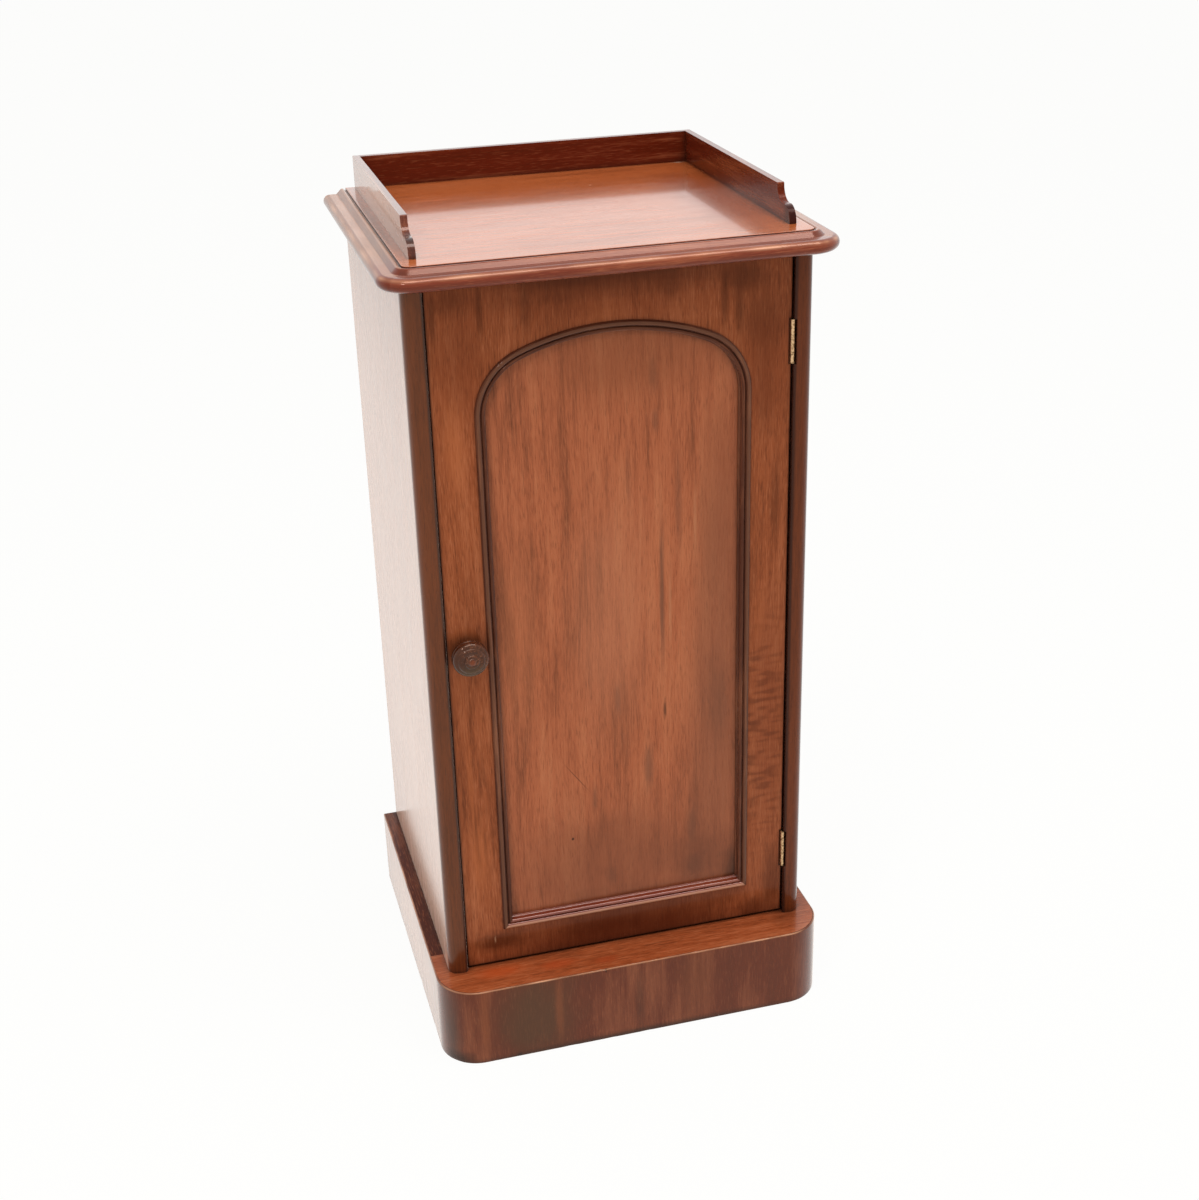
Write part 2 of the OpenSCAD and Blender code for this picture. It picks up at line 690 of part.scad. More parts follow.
module upper_hinge_case_leaf() { hinge_case_leaf(hinge_foots()[1]); }
module lower_hinge_door_leaf() { hinge_door_leaf(hinge_foots()[0]); }
module upper_hinge_door_leaf() { hinge_door_leaf(hinge_foots()[1]); }
module lower_hinge_pin() { hinge_pin(hinge_foots()[0]); }
module upper_hinge_pin() { hinge_pin(hinge_foots()[1]); }
module hinge_screws(x, turn) {
    color(brass) for (z = hinge_foots()) for (p = hinge_screw_places(z))
        translate([x, p[0], p[1]]) rotate([0, 90 * turn, 0])
            wood_screw(hinge_screw_r, hinge_screw_head, hinge_screw_l);
}
module hinge_case_screws() { hinge_screws(inner_x, 1); }
module hinge_door_screws() { hinge_screws(door_hinge_x, -1); }

/* ---- door ---- */
arch_foot_z = door_z + foot_margin;
crown_z = door_top_z - crown_margin;
crown_centre_z = crown_z - crown_r;
shoulder_x = arch_half_w - shoulder_r;
spring_z = crown_centre_z + sqrt(pow(crown_r - shoulder_r, 2) - pow(shoulder_x, 2));
arch_turn = atan2(spring_z - crown_centre_z, shoulder_x);
lip_inset = -mould_lip;         // the frame's edge, in from the moulding's outer line
rebate_out = 3;                 // the panel's rebate, out from the same line
panel_play = 0.5;
panel_y = door_y + panel_recess;
panel_back_y = panel_y + panel_t;
stile_in_x = arch_half_w - mould_lip;
tenon_t = 7;
tenon_y = frame_y + (door_back_y - frame_y - tenon_t) / 2;
rail_low_z = crown_z + rebate_out;      // wood above this is solid across the top rail
// the start of the arch is worked on the stiles, up to the blunt tips of the top rail
tip = 2;
rail_shoulder = 6;              // wood above and below each tenon
tip_r = shoulder_r - mould_lip;
tip_z = spring_z + sqrt(pow(tip_r, 2) - pow(tip_r - tip, 2));

// the three-centred arch, grown outwards by grow from the moulding's outer line (x across, y up)
module arch_outline(grow) {
    half = arch_half_w + grow;
    joint = [shoulder_x, spring_z] + polar(shoulder_r + grow, arch_turn);
    polygon([[-half, arch_foot_z - grow], [half, arch_foot_z - grow], [half, spring_z], joint,
             [-joint[0], joint[1]], [-half, spring_z]]);
    pie([shoulder_x, spring_z], shoulder_r + grow, 0, arch_turn);
    pie([-shoulder_x, spring_z], shoulder_r + grow, 180 - arch_turn, 180);
    pie([0, crown_centre_z], crown_r + grow, arch_turn, 180 - arch_turn, $fn = 128);
}
module arch_prism(grow, y_lo, y_hi) {
    translate([0, y_hi, 0]) rotate([90, 0, 0]) linear_extrude(y_hi - y_lo) arch_outline(grow);
}
// what is cut from every piece of the frame: the sight opening and the rebate behind it
module frame_cutter() {
    arch_prism(lip_inset, door_y - overcut, door_back_y + overcut);
    arch_prism(rebate_out, panel_y, door_back_y + overcut);
}
module tenon(side, z_lo, z_hi, play) {
    reach = stile_in_x + tenon_l + play;
    slab([side > 0 ? stile_in_x - overcut : -reach, tenon_y - play, z_lo - play],
         [side > 0 ? reach : -stile_in_x + overcut, tenon_y + tenon_t + play, z_hi + play]);
}
top_tenon_z = [rail_low_z + rail_shoulder, door_top_z - rail_shoulder];
foot_tenon_z = [door_z + rail_shoulder, arch_foot_z - rebate_out - rail_shoulder];
module tenons(side, play) {
    tenon(side, top_tenon_z[0], top_tenon_z[1], play);
    tenon(side, foot_tenon_z[0], foot_tenon_z[1], play);
}
module hinge_stile() {
    color(mahogany) difference() {
        union() {
            slab([stile_in_x, frame_y, door_z], [door_hinge_x, door_back_y, door_top_z]);
            slab([stile_in_x - tip, frame_y, spring_z], [stile_in_x, door_back_y, tip_z]);
        }
        frame_cutter();
        tenons(1, joinery_fit);
        for (z = hinge_foots()) {
            knuckle_clearance(z, pin_x - knuckle_r - knuckle_play, inner_x);
            leaf_housing(z, door_hinge_x - leaf_t, door_hinge_x + overcut);
            for (p = hinge_screw_places(z)) translate([door_hinge_x, p[0], p[1]])
                rotate([0, -90, 0]) screw_hole(hinge_screw_r, hinge_screw_head, hinge_screw_l);
        }
    }
}
module lock_stile() {
    color(mahogany) difference() {
        union() {
            translate([0, 0, door_z]) linear_extrude(door_top_z - door_z)
                polygon([[door_lock_x, frame_y], [-stile_in_x, frame_y], [-stile_in_x, door_back_y],
                         [door_lock_x + lock_bevel, door_back_y]]);
            slab([-stile_in_x, frame_y, spring_z], [-stile_in_x + tip, door_back_y, tip_z]);
        }
        frame_cutter();
        tenons(-1, joinery_fit);
        spindle_bore();
    }
}
module arched_top_rail() {
    color(mahogany) union() {
        difference() {
            slab([-stile_in_x, frame_y, tip_z], [stile_in_x, door_back_y, door_top_z]);
            frame_cutter();
        }
        for (side = [-1, 1]) tenon(side, top_tenon_z[0], top_tenon_z[1], 0);
    }
}
module bottom_rail() {
    color(mahogany) union() {
        difference() {
            slab([-stile_in_x, frame_y, door_z], [stile_in_x, door_back_y, arch_foot_z + mould_lip]);
            frame_cutter();
        }
        for (side = [-1, 1]) tenon(side, foot_tenon_z[0], foot_tenon_z[1], 0);
    }
}
module door_face_veneer() {
    color(mahogany) difference() {
        slab([door_lock_x, door_y, door_z], [door_hinge_x, frame_y, door_top_z]);
        arch_prism(lip_inset, door_y - overcut, frame_y + overcut);
        for (z = hinge_foots()) knuckle_clearance(z, pin_x - knuckle_r - knuckle_play, inner_x);
        spindle_bore();
    }
}
module door_panel() {
    color(pale_mahogany) arch_prism(rebate_out - panel_play, panel_y, panel_back_y);
}
bead_w = 7;
bead_sink = 1;                  // the bead's face below the back of the door
module panel_bead() {
    color(softwood) difference() {
        arch_prism(rebate_out - panel_play, panel_back_y, door_back_y - bead_sink);
        arch_prism(rebate_out - panel_play - bead_w, panel_back_y - overcut, door_back_y);
    }
}

// section of the panel moulding: x inwards from its outer line and y out of the door's face.
// The outer bead laps the frame's edge, and the rest stands on the panel.
bead_gap = 0.4;                 // the quirk between the two beads
outer_rise = 0.5;               // straight part under the outer bead
inner_rise = 0.4;               // straight part under the inner bead
quirk_rise_y = 0.1;             // height of the quirk's floor over the face of the door
foot_rise = 1.3;                // height of the moulding's foot over the panel
mould_w = 2 * outer_bead_r + bead_gap + 2 * inner_bead_r + mould_foot;
module mould_section() {
    body_x = mould_lip + moving_gap;
    inner_x_lo = 2 * outer_bead_r + bead_gap;
    inner_x_hi = inner_x_lo + 2 * inner_bead_r;
    foot_y = foot_rise - panel_recess;
    cove_c = [mould_w, foot_y + mould_foot];
    union() {
        square([2 * outer_bead_r, outer_rise]);
        pie([outer_bead_r, outer_rise], outer_bead_r, 0, 180);
        translate([body_x, -panel_recess]) square([inner_x_hi - body_x, panel_recess + quirk_rise_y]);
        translate([inner_x_lo, 0]) square([2 * inner_bead_r, inner_rise]);
        pie([inner_x_lo + inner_bead_r, inner_rise], inner_bead_r, 0, 180);
        translate([inner_x_hi, -panel_recess]) square([mould_foot, foot_rise]);
        cove_fill(cove_c, mould_foot, 180, [inner_x_hi, foot_y], 270);
    }
}
module mould_strip(len) {
    linear_extrude(len) mirror([0, 1]) mould_section();
}
module mould_front(outline_depth) {
    translate([0, door_y + panel_recess + overcut, 0]) rotate([90, 0, 0])
        linear_extrude(outline_depth) children();
}
mould_depth = panel_recess + 2 * outer_bead_r + 2 * overcut;
module moulding_left() {
    color(dark_mahogany) difference() {
        translate([-arch_half_w, door_y, arch_foot_z]) mould_strip(spring_z - arch_foot_z);
        // the mitre at its foot
        translate([-arch_half_w, 0, arch_foot_z]) mould_front(mould_depth)
            polygon([[-overcut, -overcut], [mould_w + overcut, mould_w + overcut],
                     [mould_w + overcut, -overcut]]);
    }
}
module moulding_right() { mirror([1, 0, 0]) moulding_left(); }
module moulding_bottom() {
    color(dark_mahogany) intersection() {
        translate([arch_half_w, door_y, arch_foot_z]) rotate([0, -90, 0])
            mould_strip(2 * arch_half_w);
        translate([0, 0, arch_foot_z]) mould_front(mould_depth)
            polygon([[-arch_half_w, 0], [arch_half_w, 0], [arch_half_w - 2 * mould_w, 2 * mould_w],
                     [-arch_half_w + 2 * mould_w, 2 * mould_w]]);
    }
}
// the arch is worked in three lengths, one for each centre that it is struck from
module mould_bend(cx, cz, r, from, to) {
    color(dark_mahogany) translate([cx, door_y, cz]) rotate([90, 0, 0]) rotate([0, 0, from])
        rotate_extrude(angle = to - from, $fn = 128)
            translate([r, 0]) mirror([1, 0]) mould_section();
}
module moulding_right_shoulder() { mould_bend(shoulder_x, spring_z, shoulder_r, 0, arch_turn); }
module moulding_left_shoulder() {
    mould_bend(-shoulder_x, spring_z, shoulder_r, 180 - arch_turn, 180);
}
module moulding_crown() { mould_bend(0, crown_centre_z, crown_r, arch_turn, 180 - arch_turn); }

/* ---- knob and catch ---- */
nut_t = 4;
spindle_in = 14;                // length of the spindle inside the knob
module spindle_bore() {
    translate([knob_x, door_back_y + overcut, knob_z]) rotate([90, 0, 0])
        cylinder(r = spindle_r + running_fit, h = door_t + 2 * overcut);
}
// turned profile: distance from the axis, and distance out of the door
module knob_profile() {
    rim_r = 5;
    rim_c = [knob_r - rim_r, knob_reach - 9.4];
    face = rim_c[1] + rim_r;
    difference() {
        union() {
            // foot, stem, rim, and the turned rings of the face
            polygon([[0, moving_gap], [9, moving_gap], [9.6, 1.4], [9, 2.6], [9, 9],
                     rim_c + polar(rim_r, -100), rim_c, rim_c + polar(rim_r, 72),
                     [rim_c[0] + 0.9, face - 0.4], [rim_c[0] + 0.3, face - 0.5],
                     [rim_c[0] - 0.4, face + 0.2], [rim_c[0] - 2.2, face + 1.1],
                     [rim_c[0] - 2.8, face + 0.6], [rim_c[0] - 3.4, face + 1.2],
                     [4.9, face + 2.3], [4.2, face + 1.7], [0, face + 1.7]]);
            pie(rim_c, rim_r, -100, 72);
            pie([0, knob_reach - 5], 5, 0, 90);
        }
        // the hollow of the neck
        translate([11.4, 5.9]) circle(4.3);
    }
}
module knob() {
    color(dark_mahogany) translate([knob_x, door_y, knob_z]) rotate([90, 0, 0]) difference() {
        rotate_extrude() knob_profile();
        translate([0, 0, moving_gap - overcut])
            cylinder(r = spindle_r + running_fit, h = spindle_in + overcut - moving_gap + joinery_fit);
    }
}
module catch_spindle() {
    color(iron) translate([knob_x, tongue_y + tongue_t + nut_t + 1, knob_z]) rotate([90, 0, 0])
        cylinder(r = spindle_r, h = tongue_y + tongue_t + nut_t + 1 - door_y + spindle_in);
}
// the tongue stands upright when released, and turns a quarter turn into the side's mortise
module catch_tongue() {
    tip_c = tongue_l - tongue_w / 2;
    color(brass) translate([knob_x, tongue_y + tongue_t, knob_z]) rotate([90, 0, 0])
        difference() {
            linear_extrude(tongue_t) union() {
                circle(tongue_w / 2 + 2);
                translate([-tongue_w / 2, 0]) square([tongue_w, tip_c]);
                translate([0, tip_c]) circle(tongue_w / 2);
            }
            translate([0, 0, -overcut])
                cylinder(r = spindle_r + running_fit, h = tongue_t + 2 * overcut);
        }
}
module catch_nut() {
    color(brass) translate([knob_x, tongue_y + tongue_t + nut_t, knob_z]) rotate([90, 0, 0])
        difference() {
            cylinder(r = spindle_r + 3.5, h = nut_t, $fn = 6);
            translate([0, 0, -overcut])
                cylinder(r = spindle_r + running_fit, h = nut_t + 2 * overcut);
        }
}

plinth_front_rail();
plinth_left_rail();
plinth_right_rail();
plinth_back_rail();
plinth_corner_left();
plinth_corner_right();
plinth_facing();
plinth_cap_front();
plinth_cap_left();
plinth_cap_right();
plinth_glue_blocks();
plinth_screws();
left_side();
right_side();
bottom_board();
top_front_rail();
top_back_rail();
back_board_left();
back_board_middle();
back_board_right();
back_nails();
shelf();
shelf_bearer_left();
shelf_bearer_right();
bearer_screws();
moulded_top();
top_screws();
top_glue_blocks();
gallery_back();
gallery_left();
gallery_right();
gallery_dowels();
upper_hinge_case_leaf();
lower_hinge_case_leaf();
upper_hinge_pin();
lower_hinge_pin();
hinge_case_screws();
upper_hinge_door_leaf();
lower_hinge_door_leaf();
hinge_door_screws();
hinge_stile();
lock_stile();
arched_top_rail();
bottom_rail();
door_face_veneer();
door_panel();
panel_bead();
moulding_crown();
moulding_left_shoulder();
moulding_right_shoulder();
moulding_left();
moulding_right();
moulding_bottom();
knob();
catch_spindle();
catch_tongue();
catch_nut();
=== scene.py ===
"""Bedside pot cupboard in French-polished mahogany: its mouldings, knob, fittings and finishes."""
import math

import bmesh
import bpy
from mathutils import Matrix, Vector, geometry, noise


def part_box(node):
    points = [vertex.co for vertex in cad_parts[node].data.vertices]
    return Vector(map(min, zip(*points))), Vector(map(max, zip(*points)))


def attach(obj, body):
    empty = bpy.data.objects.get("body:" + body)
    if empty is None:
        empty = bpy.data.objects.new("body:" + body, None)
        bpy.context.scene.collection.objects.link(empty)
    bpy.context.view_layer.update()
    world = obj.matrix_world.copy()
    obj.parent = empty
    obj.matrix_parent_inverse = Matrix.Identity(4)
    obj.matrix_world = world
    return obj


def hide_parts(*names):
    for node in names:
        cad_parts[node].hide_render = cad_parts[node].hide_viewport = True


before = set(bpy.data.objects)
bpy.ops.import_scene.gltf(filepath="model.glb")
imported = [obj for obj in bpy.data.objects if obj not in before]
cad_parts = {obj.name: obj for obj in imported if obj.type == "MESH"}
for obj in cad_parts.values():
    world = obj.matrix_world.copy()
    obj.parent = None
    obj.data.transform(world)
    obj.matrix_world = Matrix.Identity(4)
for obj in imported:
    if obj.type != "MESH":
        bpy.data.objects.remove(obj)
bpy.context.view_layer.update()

bl_info = {
    "name": "Bedside pot cupboard",
    "version": (1, 0, 0),
    "blender": (4, 5, 0),
    "location": "3D View > Sidebar > Cupboard",
    "description": "Makes the mouldings, knob, fittings and finishes of a mahogany cupboard",
    "category": "Object",
}

MM = 0.001


def box_mm(node):
    """Lowest and highest corners of a node of the frame, in millimetres."""
    return [[value / MM for value in corner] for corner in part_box(node)]


def linear(hex_colour):
    """An sRGB hex colour as the linear values that the shaders take."""
    parts = [int(hex_colour[i:i + 2], 16) / 255 for i in (1, 3, 5)]
    return tuple(c / 12.92 if c <= 0.04045 else ((c + 0.055) / 1.055) ** 2.4 for c in parts)


def colour(name, description, hex_colour):
    """A colour that a user may change."""
    return bpy.props.FloatVectorProperty(name=name, description=description, subtype="COLOR",
                                         size=3, min=0.0, max=1.0, default=linear(hex_colour))


def length(name, description, default, low, high):
    """A length in millimetres that a user may change."""
    return bpy.props.FloatProperty(name=name, description=description, default=default * MM,
                                   min=low * MM, max=high * MM, unit="LENGTH", precision=5)


def chosen():
    """The colours and the sizes that the user has chosen."""
    scene = bpy.context.scene
    return scene.cupboard_colours, scene.cupboard_sizes


# ---------------- sizes and colours to change

class CupboardSizes(bpy.types.PropertyGroup):
    """Sizes of the dressed parts that the frame leaves open."""
    arris: length("Softened arris", "Radius that sanding and polishing leave on an edge",
                  0.45, 0.0, 1.5)
    plinth_arris: length("Worn plinth arris", "Radius of the worn top edge of the plinth's facing",
                         1.1, 0.2, 1.4)
    plinth_dents: length("Plinth dents", "Depth of the knocks along the plinth's edges",
                         0.5, 0.0, 0.6)
    screw_slot: length("Screw slot", "Width of the slot in the heads of the hinge screws",
                       0.7, 0.3, 1.0)
    knob_steps: bpy.props.IntProperty(
        name="Knob steps", description="Facets round the turned knob", default=96, min=24, max=256)


class CupboardColours(bpy.types.PropertyGroup):
    """Colours of the finishes."""
    panel: colour("Panel", "Pale figure of the door's panel", "#aa5c3a")
    door: colour("Door", "Wood of the door's frame", "#98502e")
    moulding: colour("Moulding", "Darker wood of the panel moulding", "#4f281a")
    case: colour("Case", "Wood of the case's sides", "#98502e")
    # lighter than the case's wood: a painted reflection of the pale light that the left side shows
    # at a low angle
    faded: colour("Faded side", "Left side of the case, faded by the sun", "#b8744c")
    # darker lipping wood, and partly a painted dark reflection off the round front edges
    edge: colour("Case edges", "Dark front edges of the sides", "#6c3418")
    top: colour("Top", "Wood of the top", "#ba6233")
    top_edge: colour("Moulded edge", "Darker wood of the top's moulded edge", "#742c18")
    top_ends: colour("Moulded ends", "Duller wood of the moulded edge down the sides", "#8a5636")
    gallery: colour("Gallery", "Wood of the gallery's boards", "#5c1e0d")
    plinth: colour("Plinth", "Wood of the plinth", "#642b18")
    cap: colour("Plinth top", "Strips that cap the plinth", "#9c4c28")
    cap_side: colour("Plinth sides", "Darker strips that cap the plinth's sides", "#4e1c0c")
    knob: colour("Knob", "Dark wood of the knob", "#3c1a0b")
    shade: colour("Dark figure", "Dark bands and pores of the mahogany", "#3c1a0c")
    glow: colour("Light figure", "Light ribbons and flecks of the mahogany", "#c47850")
    # laid in corners, creases and the gap by the door: partly old wax and dust, partly painted
    # shade
    grime_and_shade: colour("Grime", "Old wax and dust held in the corners", "#2a1610")
    deal: colour("Deal", "Stained deal of the hidden boards", "#a27346")
    deal_dark: colour("Deal lines", "Late wood of the deal boards", "#6d4424")
    brass: colour("Brass", "Aged brass of the hinges and the catch", "#deb88c")
    iron: colour("Iron", "Iron of the nails and screws", "#6a625a")
    floor: colour("Floor", "Pale floor", "#f6f5f2")


# ---------------- marks

def face_marks(y, groups):
    """Marks on a face that looks forward. A group has a tint, how ragged its marks are, and for
    each mark its place across and up, half its width and height, its strength and any lean."""
    deep = 9                 # how far behind the face a mark still tints the wood, in mm
    return [((x, y, z), (w, deep, h), tint, strength, ragged, *lean)
            for tint, ragged, *rows in groups for x, z, w, h, strength, *lean in rows]


# patches, streaks, rubs, flaws, painted shade and painted reflections of each finish:
# centre and radii in mm, tint, strength and, where they differ from the usual, how ragged
# the mark is and the angle that it leans by
MARKS = {
    # a pale patch over the whole left side: painted reflection of the light that it catches at a
    # low angle
    "case_mahogany_left": (((-185.5, -40, 150), (8, 260, 300), "#d89a74", 0.6),),
    "plinth_facing_mahogany": (
        ((-108, -180, 46), (64, 9, 80), "#4a3824", 0.6, 0.3),
        ((-195, -172, 35), (16, 30, 70), "#43342a", 0.7),
        ((-84, -180, 50), (7, 9, 60), "#8a4a2a", 0.5),
        ((-160, -180, 50), (8, 9, 60), "#8c4a28", 0.5),
        ((0, -180, 40), (8, 9, 50), "#4a2a1c", 0.4),
        ((60, -180, 50), (30, 9, 60), "#7d4528", 0.35),
        # a dark line along the foot: painted contact shadow
        ((0, -180, 0), (230, 9, 9), "#20130d", 0.75, 0.1),
        # the right end, where the round turns away from the light: painted shade
        ((201, -166, 43), (16, 24, 90), "#1c0c06", 1.0, 0.1),
        # the foot of the left corner: painted contact shadow, with scuffs
        ((-190, -172, 4), (34, 26, 14), "#17100d", 0.8),
        # a pale band down the left side: painted reflection of the light it catches at a low angle
        ((-200, 20, 43), (5, 190, 60), "#c8906c", 0.75, 0.1),
        ((-34.8, -179, 84), (1.3, 6, 3.5), "#1e100a", 0.9, 0.3),
        ((-127, -180, 2), (5, 9, 4), "#1e140e", 0.8, 0.5)),
    "plinth_cap_mahogany": (
        ((-137, -152, 86), (36, 13, 9), "#b0481e", 0.7),
        ((-78, -157, 86), (28, 10, 9), "#aa421c", 0.6),
        ((-30, -164, 86), (20, 8, 9), "#9c3a18", 0.5),
        ((168, -140, 86), (30, 36, 9), "#5c2a16", 0.5)),
    "top_mahogany": (
        # a dark strip on the field along the foot of the gallery's left board: painted shade
        ((-179.5, 20, 804.5), (6, 190, 9), "#4e2012", 0.85, 0.1),
        ((140, 10, 804.5), (60, 190, 9), "#7c3008", 0.7),
        ((45.3, 99.7, 804.5), (2.0, 1.4, 9), "#e0b088", 0.9, 0.5),
        ((158.8, 171, 804.5), (9, 4, 9), "#c8a890", 0.75, 0.6)),
    # towards the corners, this far along the edge, the side runs darken to the front's colour
    "top_edge_mahogany_sides": [((12, 9, corner), (60, 60, reach), "#6c2816", 1.0, 0.1)
                                for corner in (336, 691) for reach in (80, 26)],
    "gallery_mahogany_left": (
        # a pale patch down the board's outer face: painted reflection of the light it catches at a
        # low angle
        ((-174, 30, 818), (4, 170, 40), "#c08a68", 0.8, 0.1),
        ((-169, -113, 820), (12, 22, 36), "#2c1412", 0.95, 0.05)),
    "gallery_mahogany_right": (((170, -120, 815), (12, 16, 44), "#2c1412", 0.95, 0.05),),
    # dark streaks, bars, pale patches, painted shadow of the top along the top rail and the tops of
    # the stiles, a darker bottom rail and a rub by the foot of the lock stile
    "door_face_mahogany": face_marks(-137, (
        ("#4a200e", 0.25,
         (-118.8, 762, 5, 42, 0.6), (-78, 757, 8, 36, 0.5), (102.6, 750, 6, 42, 0.6),
         (116.5, 742, 8, 50, 0.5), (-159.7, 755, 5, 36, 0.6), (52, 766, 14, 26, 0.4),
         (9.5, 106, 9, 15, 0.6), (-141.5, 490, 19, 60, 0.15), (153, 549, 8, 70, 0.4),
         # the broad ones at (121, 766), (140, 725) and (-145, 770) darken the upper corners:
         # painted shadow of the top
         (121, 766, 34, 24, 0.6), (140, 725, 34, 50, 0.45), (-132, 112, 40, 16, 0.75),
         (-30, 108, 60, 14, 0.5), (-145, 770, 24, 24, 0.4), (120, 540, 8, 160, 0.4),
         (156, 130, 18, 70, 0.6), (141, 660, 18, 70, 0.35), (-148, 366, 5, 34, 0.3),
         (136, 96, 26, 24, 0.6)),
        ("#542c1c", 0.5,
         (136, 315, 12, 5, 0.6), (141, 250, 14, 4, 0.6), (136, 386, 12, 6, 0.6)),
        ("#b4643a", 0.25,
         (-147, 215, 16, 70, 0.5), (-147, 636, 14, 70, 0.45), (-152, 300, 5, 60, 0.4),
         (-10, 742, 26, 30, 0.3), (140, 430, 12, 50, 0.3)),
        # painted shadow of the top's overhang along the top rail
        ("#35140a", 0.25, (0, 786, 190, 34, 0.75)),
        # painted shade of the overhang on the upper stiles and the top rail
        ("#6a2c12", 0.25,
         (-138, 715, 34, 80, 0.4), (142, 680, 34, 100, 0.4), (0, 760, 190, 34, 0.35)),
        ("#4c1c0c", 0.25, (0, 98, 190, 60, 0.85)),
        ("#7c3c22", 0.25, (146, 330, 28, 230, 0.5)),
        ("#b88a68", 0.6, (-137, 115, 1.4, 6, 0.55)))),
    # smoky bands, broad painted shading, painted shade along the panel's sides, foot and lower
    # right corner, a flaw, a speck, a scratch and pale ribbons
    "panel_mahogany": face_marks(-131.5, (
        ("#6c4230", 0.4,
         (37, 685, 7, 26, 0.55), (38.4, 640, 5, 18, 0.45), (-2.5, 362, 5, 28, 0.6),
         (27.5, 282, 8, 40, 0.6), (-28.3, 255, 4, 22, 0.5), (71.7, 205, 9, 36, 0.65),
         (75, 160, 16, 22, 0.6), (-13, 163, 9, 16, 0.45), (101, 343, 14, 66, 0.4),
         (12, 590, 4, 50, 0.3), (60, 560, 6, 80, 0.35), (43, 470, 4, 110, 0.75)),
        ("#7c4a34", 0.25, (95, 280, 46, 240, 0.45)),
        ("#84482e", 0.25, (100, 560, 34, 170, 0.45)),
        ("#8a4a2c", 0.25, (20, 700, 120, 60, 0.5)),
        ("#7c4a34", 0.25, (96, 430, 36, 240, 0.4)),
        ("#b87858", 0.25, (-10, 450, 60, 180, 0.3)),
        # painted shade in the lower right corner and along the foot of the panel
        ("#2c160c", 0.25, (124, 142, 34, 56, 0.85)),
        ("#5a2c18", 0.25, (0, 124, 150, 30, 0.75)),
        ("#74402a", 0.25, (-10, 180, 160, 100, 0.55)),
        ("#5c3222", 0.25, (80, 165, 50, 55, 0.5)),
        # painted shade along both sides of the panel, by the moulding
        ("#50281a", 0.25, (126, 400, 16, 300, 0.6), (-126, 400, 12, 300, 0.5)),
        ("#3c2014", 0.25, (44.7, 343, 2.4, 14, 0.75)),
        ("#180a06", 0.1, (-52.1, 213, 1.9, 2.6, 1.0)),
        ("#4a2a1a", 0.1, (-46, 282, 0.8, 28, 0.7, -35)),
        ("#c4845c", 0.4, (51, 455, 2.6, 60, 0.4), (76, 540, 2.6, 50, 0.35)),
        ("#b06844", 0.25, (-96, 440, 30, 150, 0.35)))),
    "knob_mahogany": (
        # a grey-brown patch on the lower half: painted reflection of the pale floor
        ((-147, -160, 424), (24, 30, 15), "#4a3c2a", 0.8, 0.1),
        ((-147, -163, 438), (5, 9, 5), "#8a3c1a", 0.5, 0.1)),
}


# ---------------- shader building

SMOOTH = {"interpolation_type": "SMOOTHSTEP"}
PORE = (0.54, 0.72)      # noise at which a pore begins, and at which it is full
PATCH = (1.0, 0.15)      # share of a patch's radius at which it begins, and at which it is full
CORNER = (0.92, 0.25)    # open share of the sky where a corner begins to darken, and where it is full: painted shade, with some wax, in the wood, and tarnish in the metal


def add(tree, kind, inputs=None, output=0, **settings):
    """Adds a shader node with its settings, sets or links its inputs, and gives one output, or
    the node itself where output is None."""
    node = tree.nodes.new("ShaderNode" + kind)
    for key, value in settings.items():
        setattr(node, key, value)
    for key, value in (inputs or {}).items():
        if isinstance(value, bpy.types.NodeSocket):
            tree.links.new(value, node.inputs[key])
        else:
            node.inputs[key].default_value = value
    return node if output is None else node.outputs[output]


def blank_tree(owner):
    """The emptied node tree of a new material or world."""
    owner.use_nodes = True
    owner.node_tree.nodes.clear()
    return owner.node_tree


def surface(tree, inputs):
    """Ends a material's tree with its surface."""
    add(tree, "OutputMaterial", {"Surface": add(tree, "BsdfPrincipled", inputs)}, None)


def rgba(values):
    return (*values, 1.0)


def lay(tree, base, over, value, low, high, most=1.0, step="SMOOTHSTEP"):
    """One colour laid over another: none of it where a value is low, and most where it is high."""
    share = add(tree, "MapRange", {0: value, 1: low, 2: high, 4: most}, interpolation_type=step)
    return add(tree, "Mix", {0: share, 6: base, 7: over}, 2, data_type="RGBA")


def figure(tree, wood, across, along, detail, rough):
    """Noise drawn out along the grain, with patches of about this size in millimetres."""
    scale = (1 / (across * MM), 1 / (across * MM), 1 / (along * MM))
    stretched = add(tree, "VectorMath", {0: wood, 1: scale}, operation="MULTIPLY")
    return add(tree, "TexNoise", {"Vector": stretched, "Scale": 1.0, "Detail": detail,
                                  "Roughness": rough})


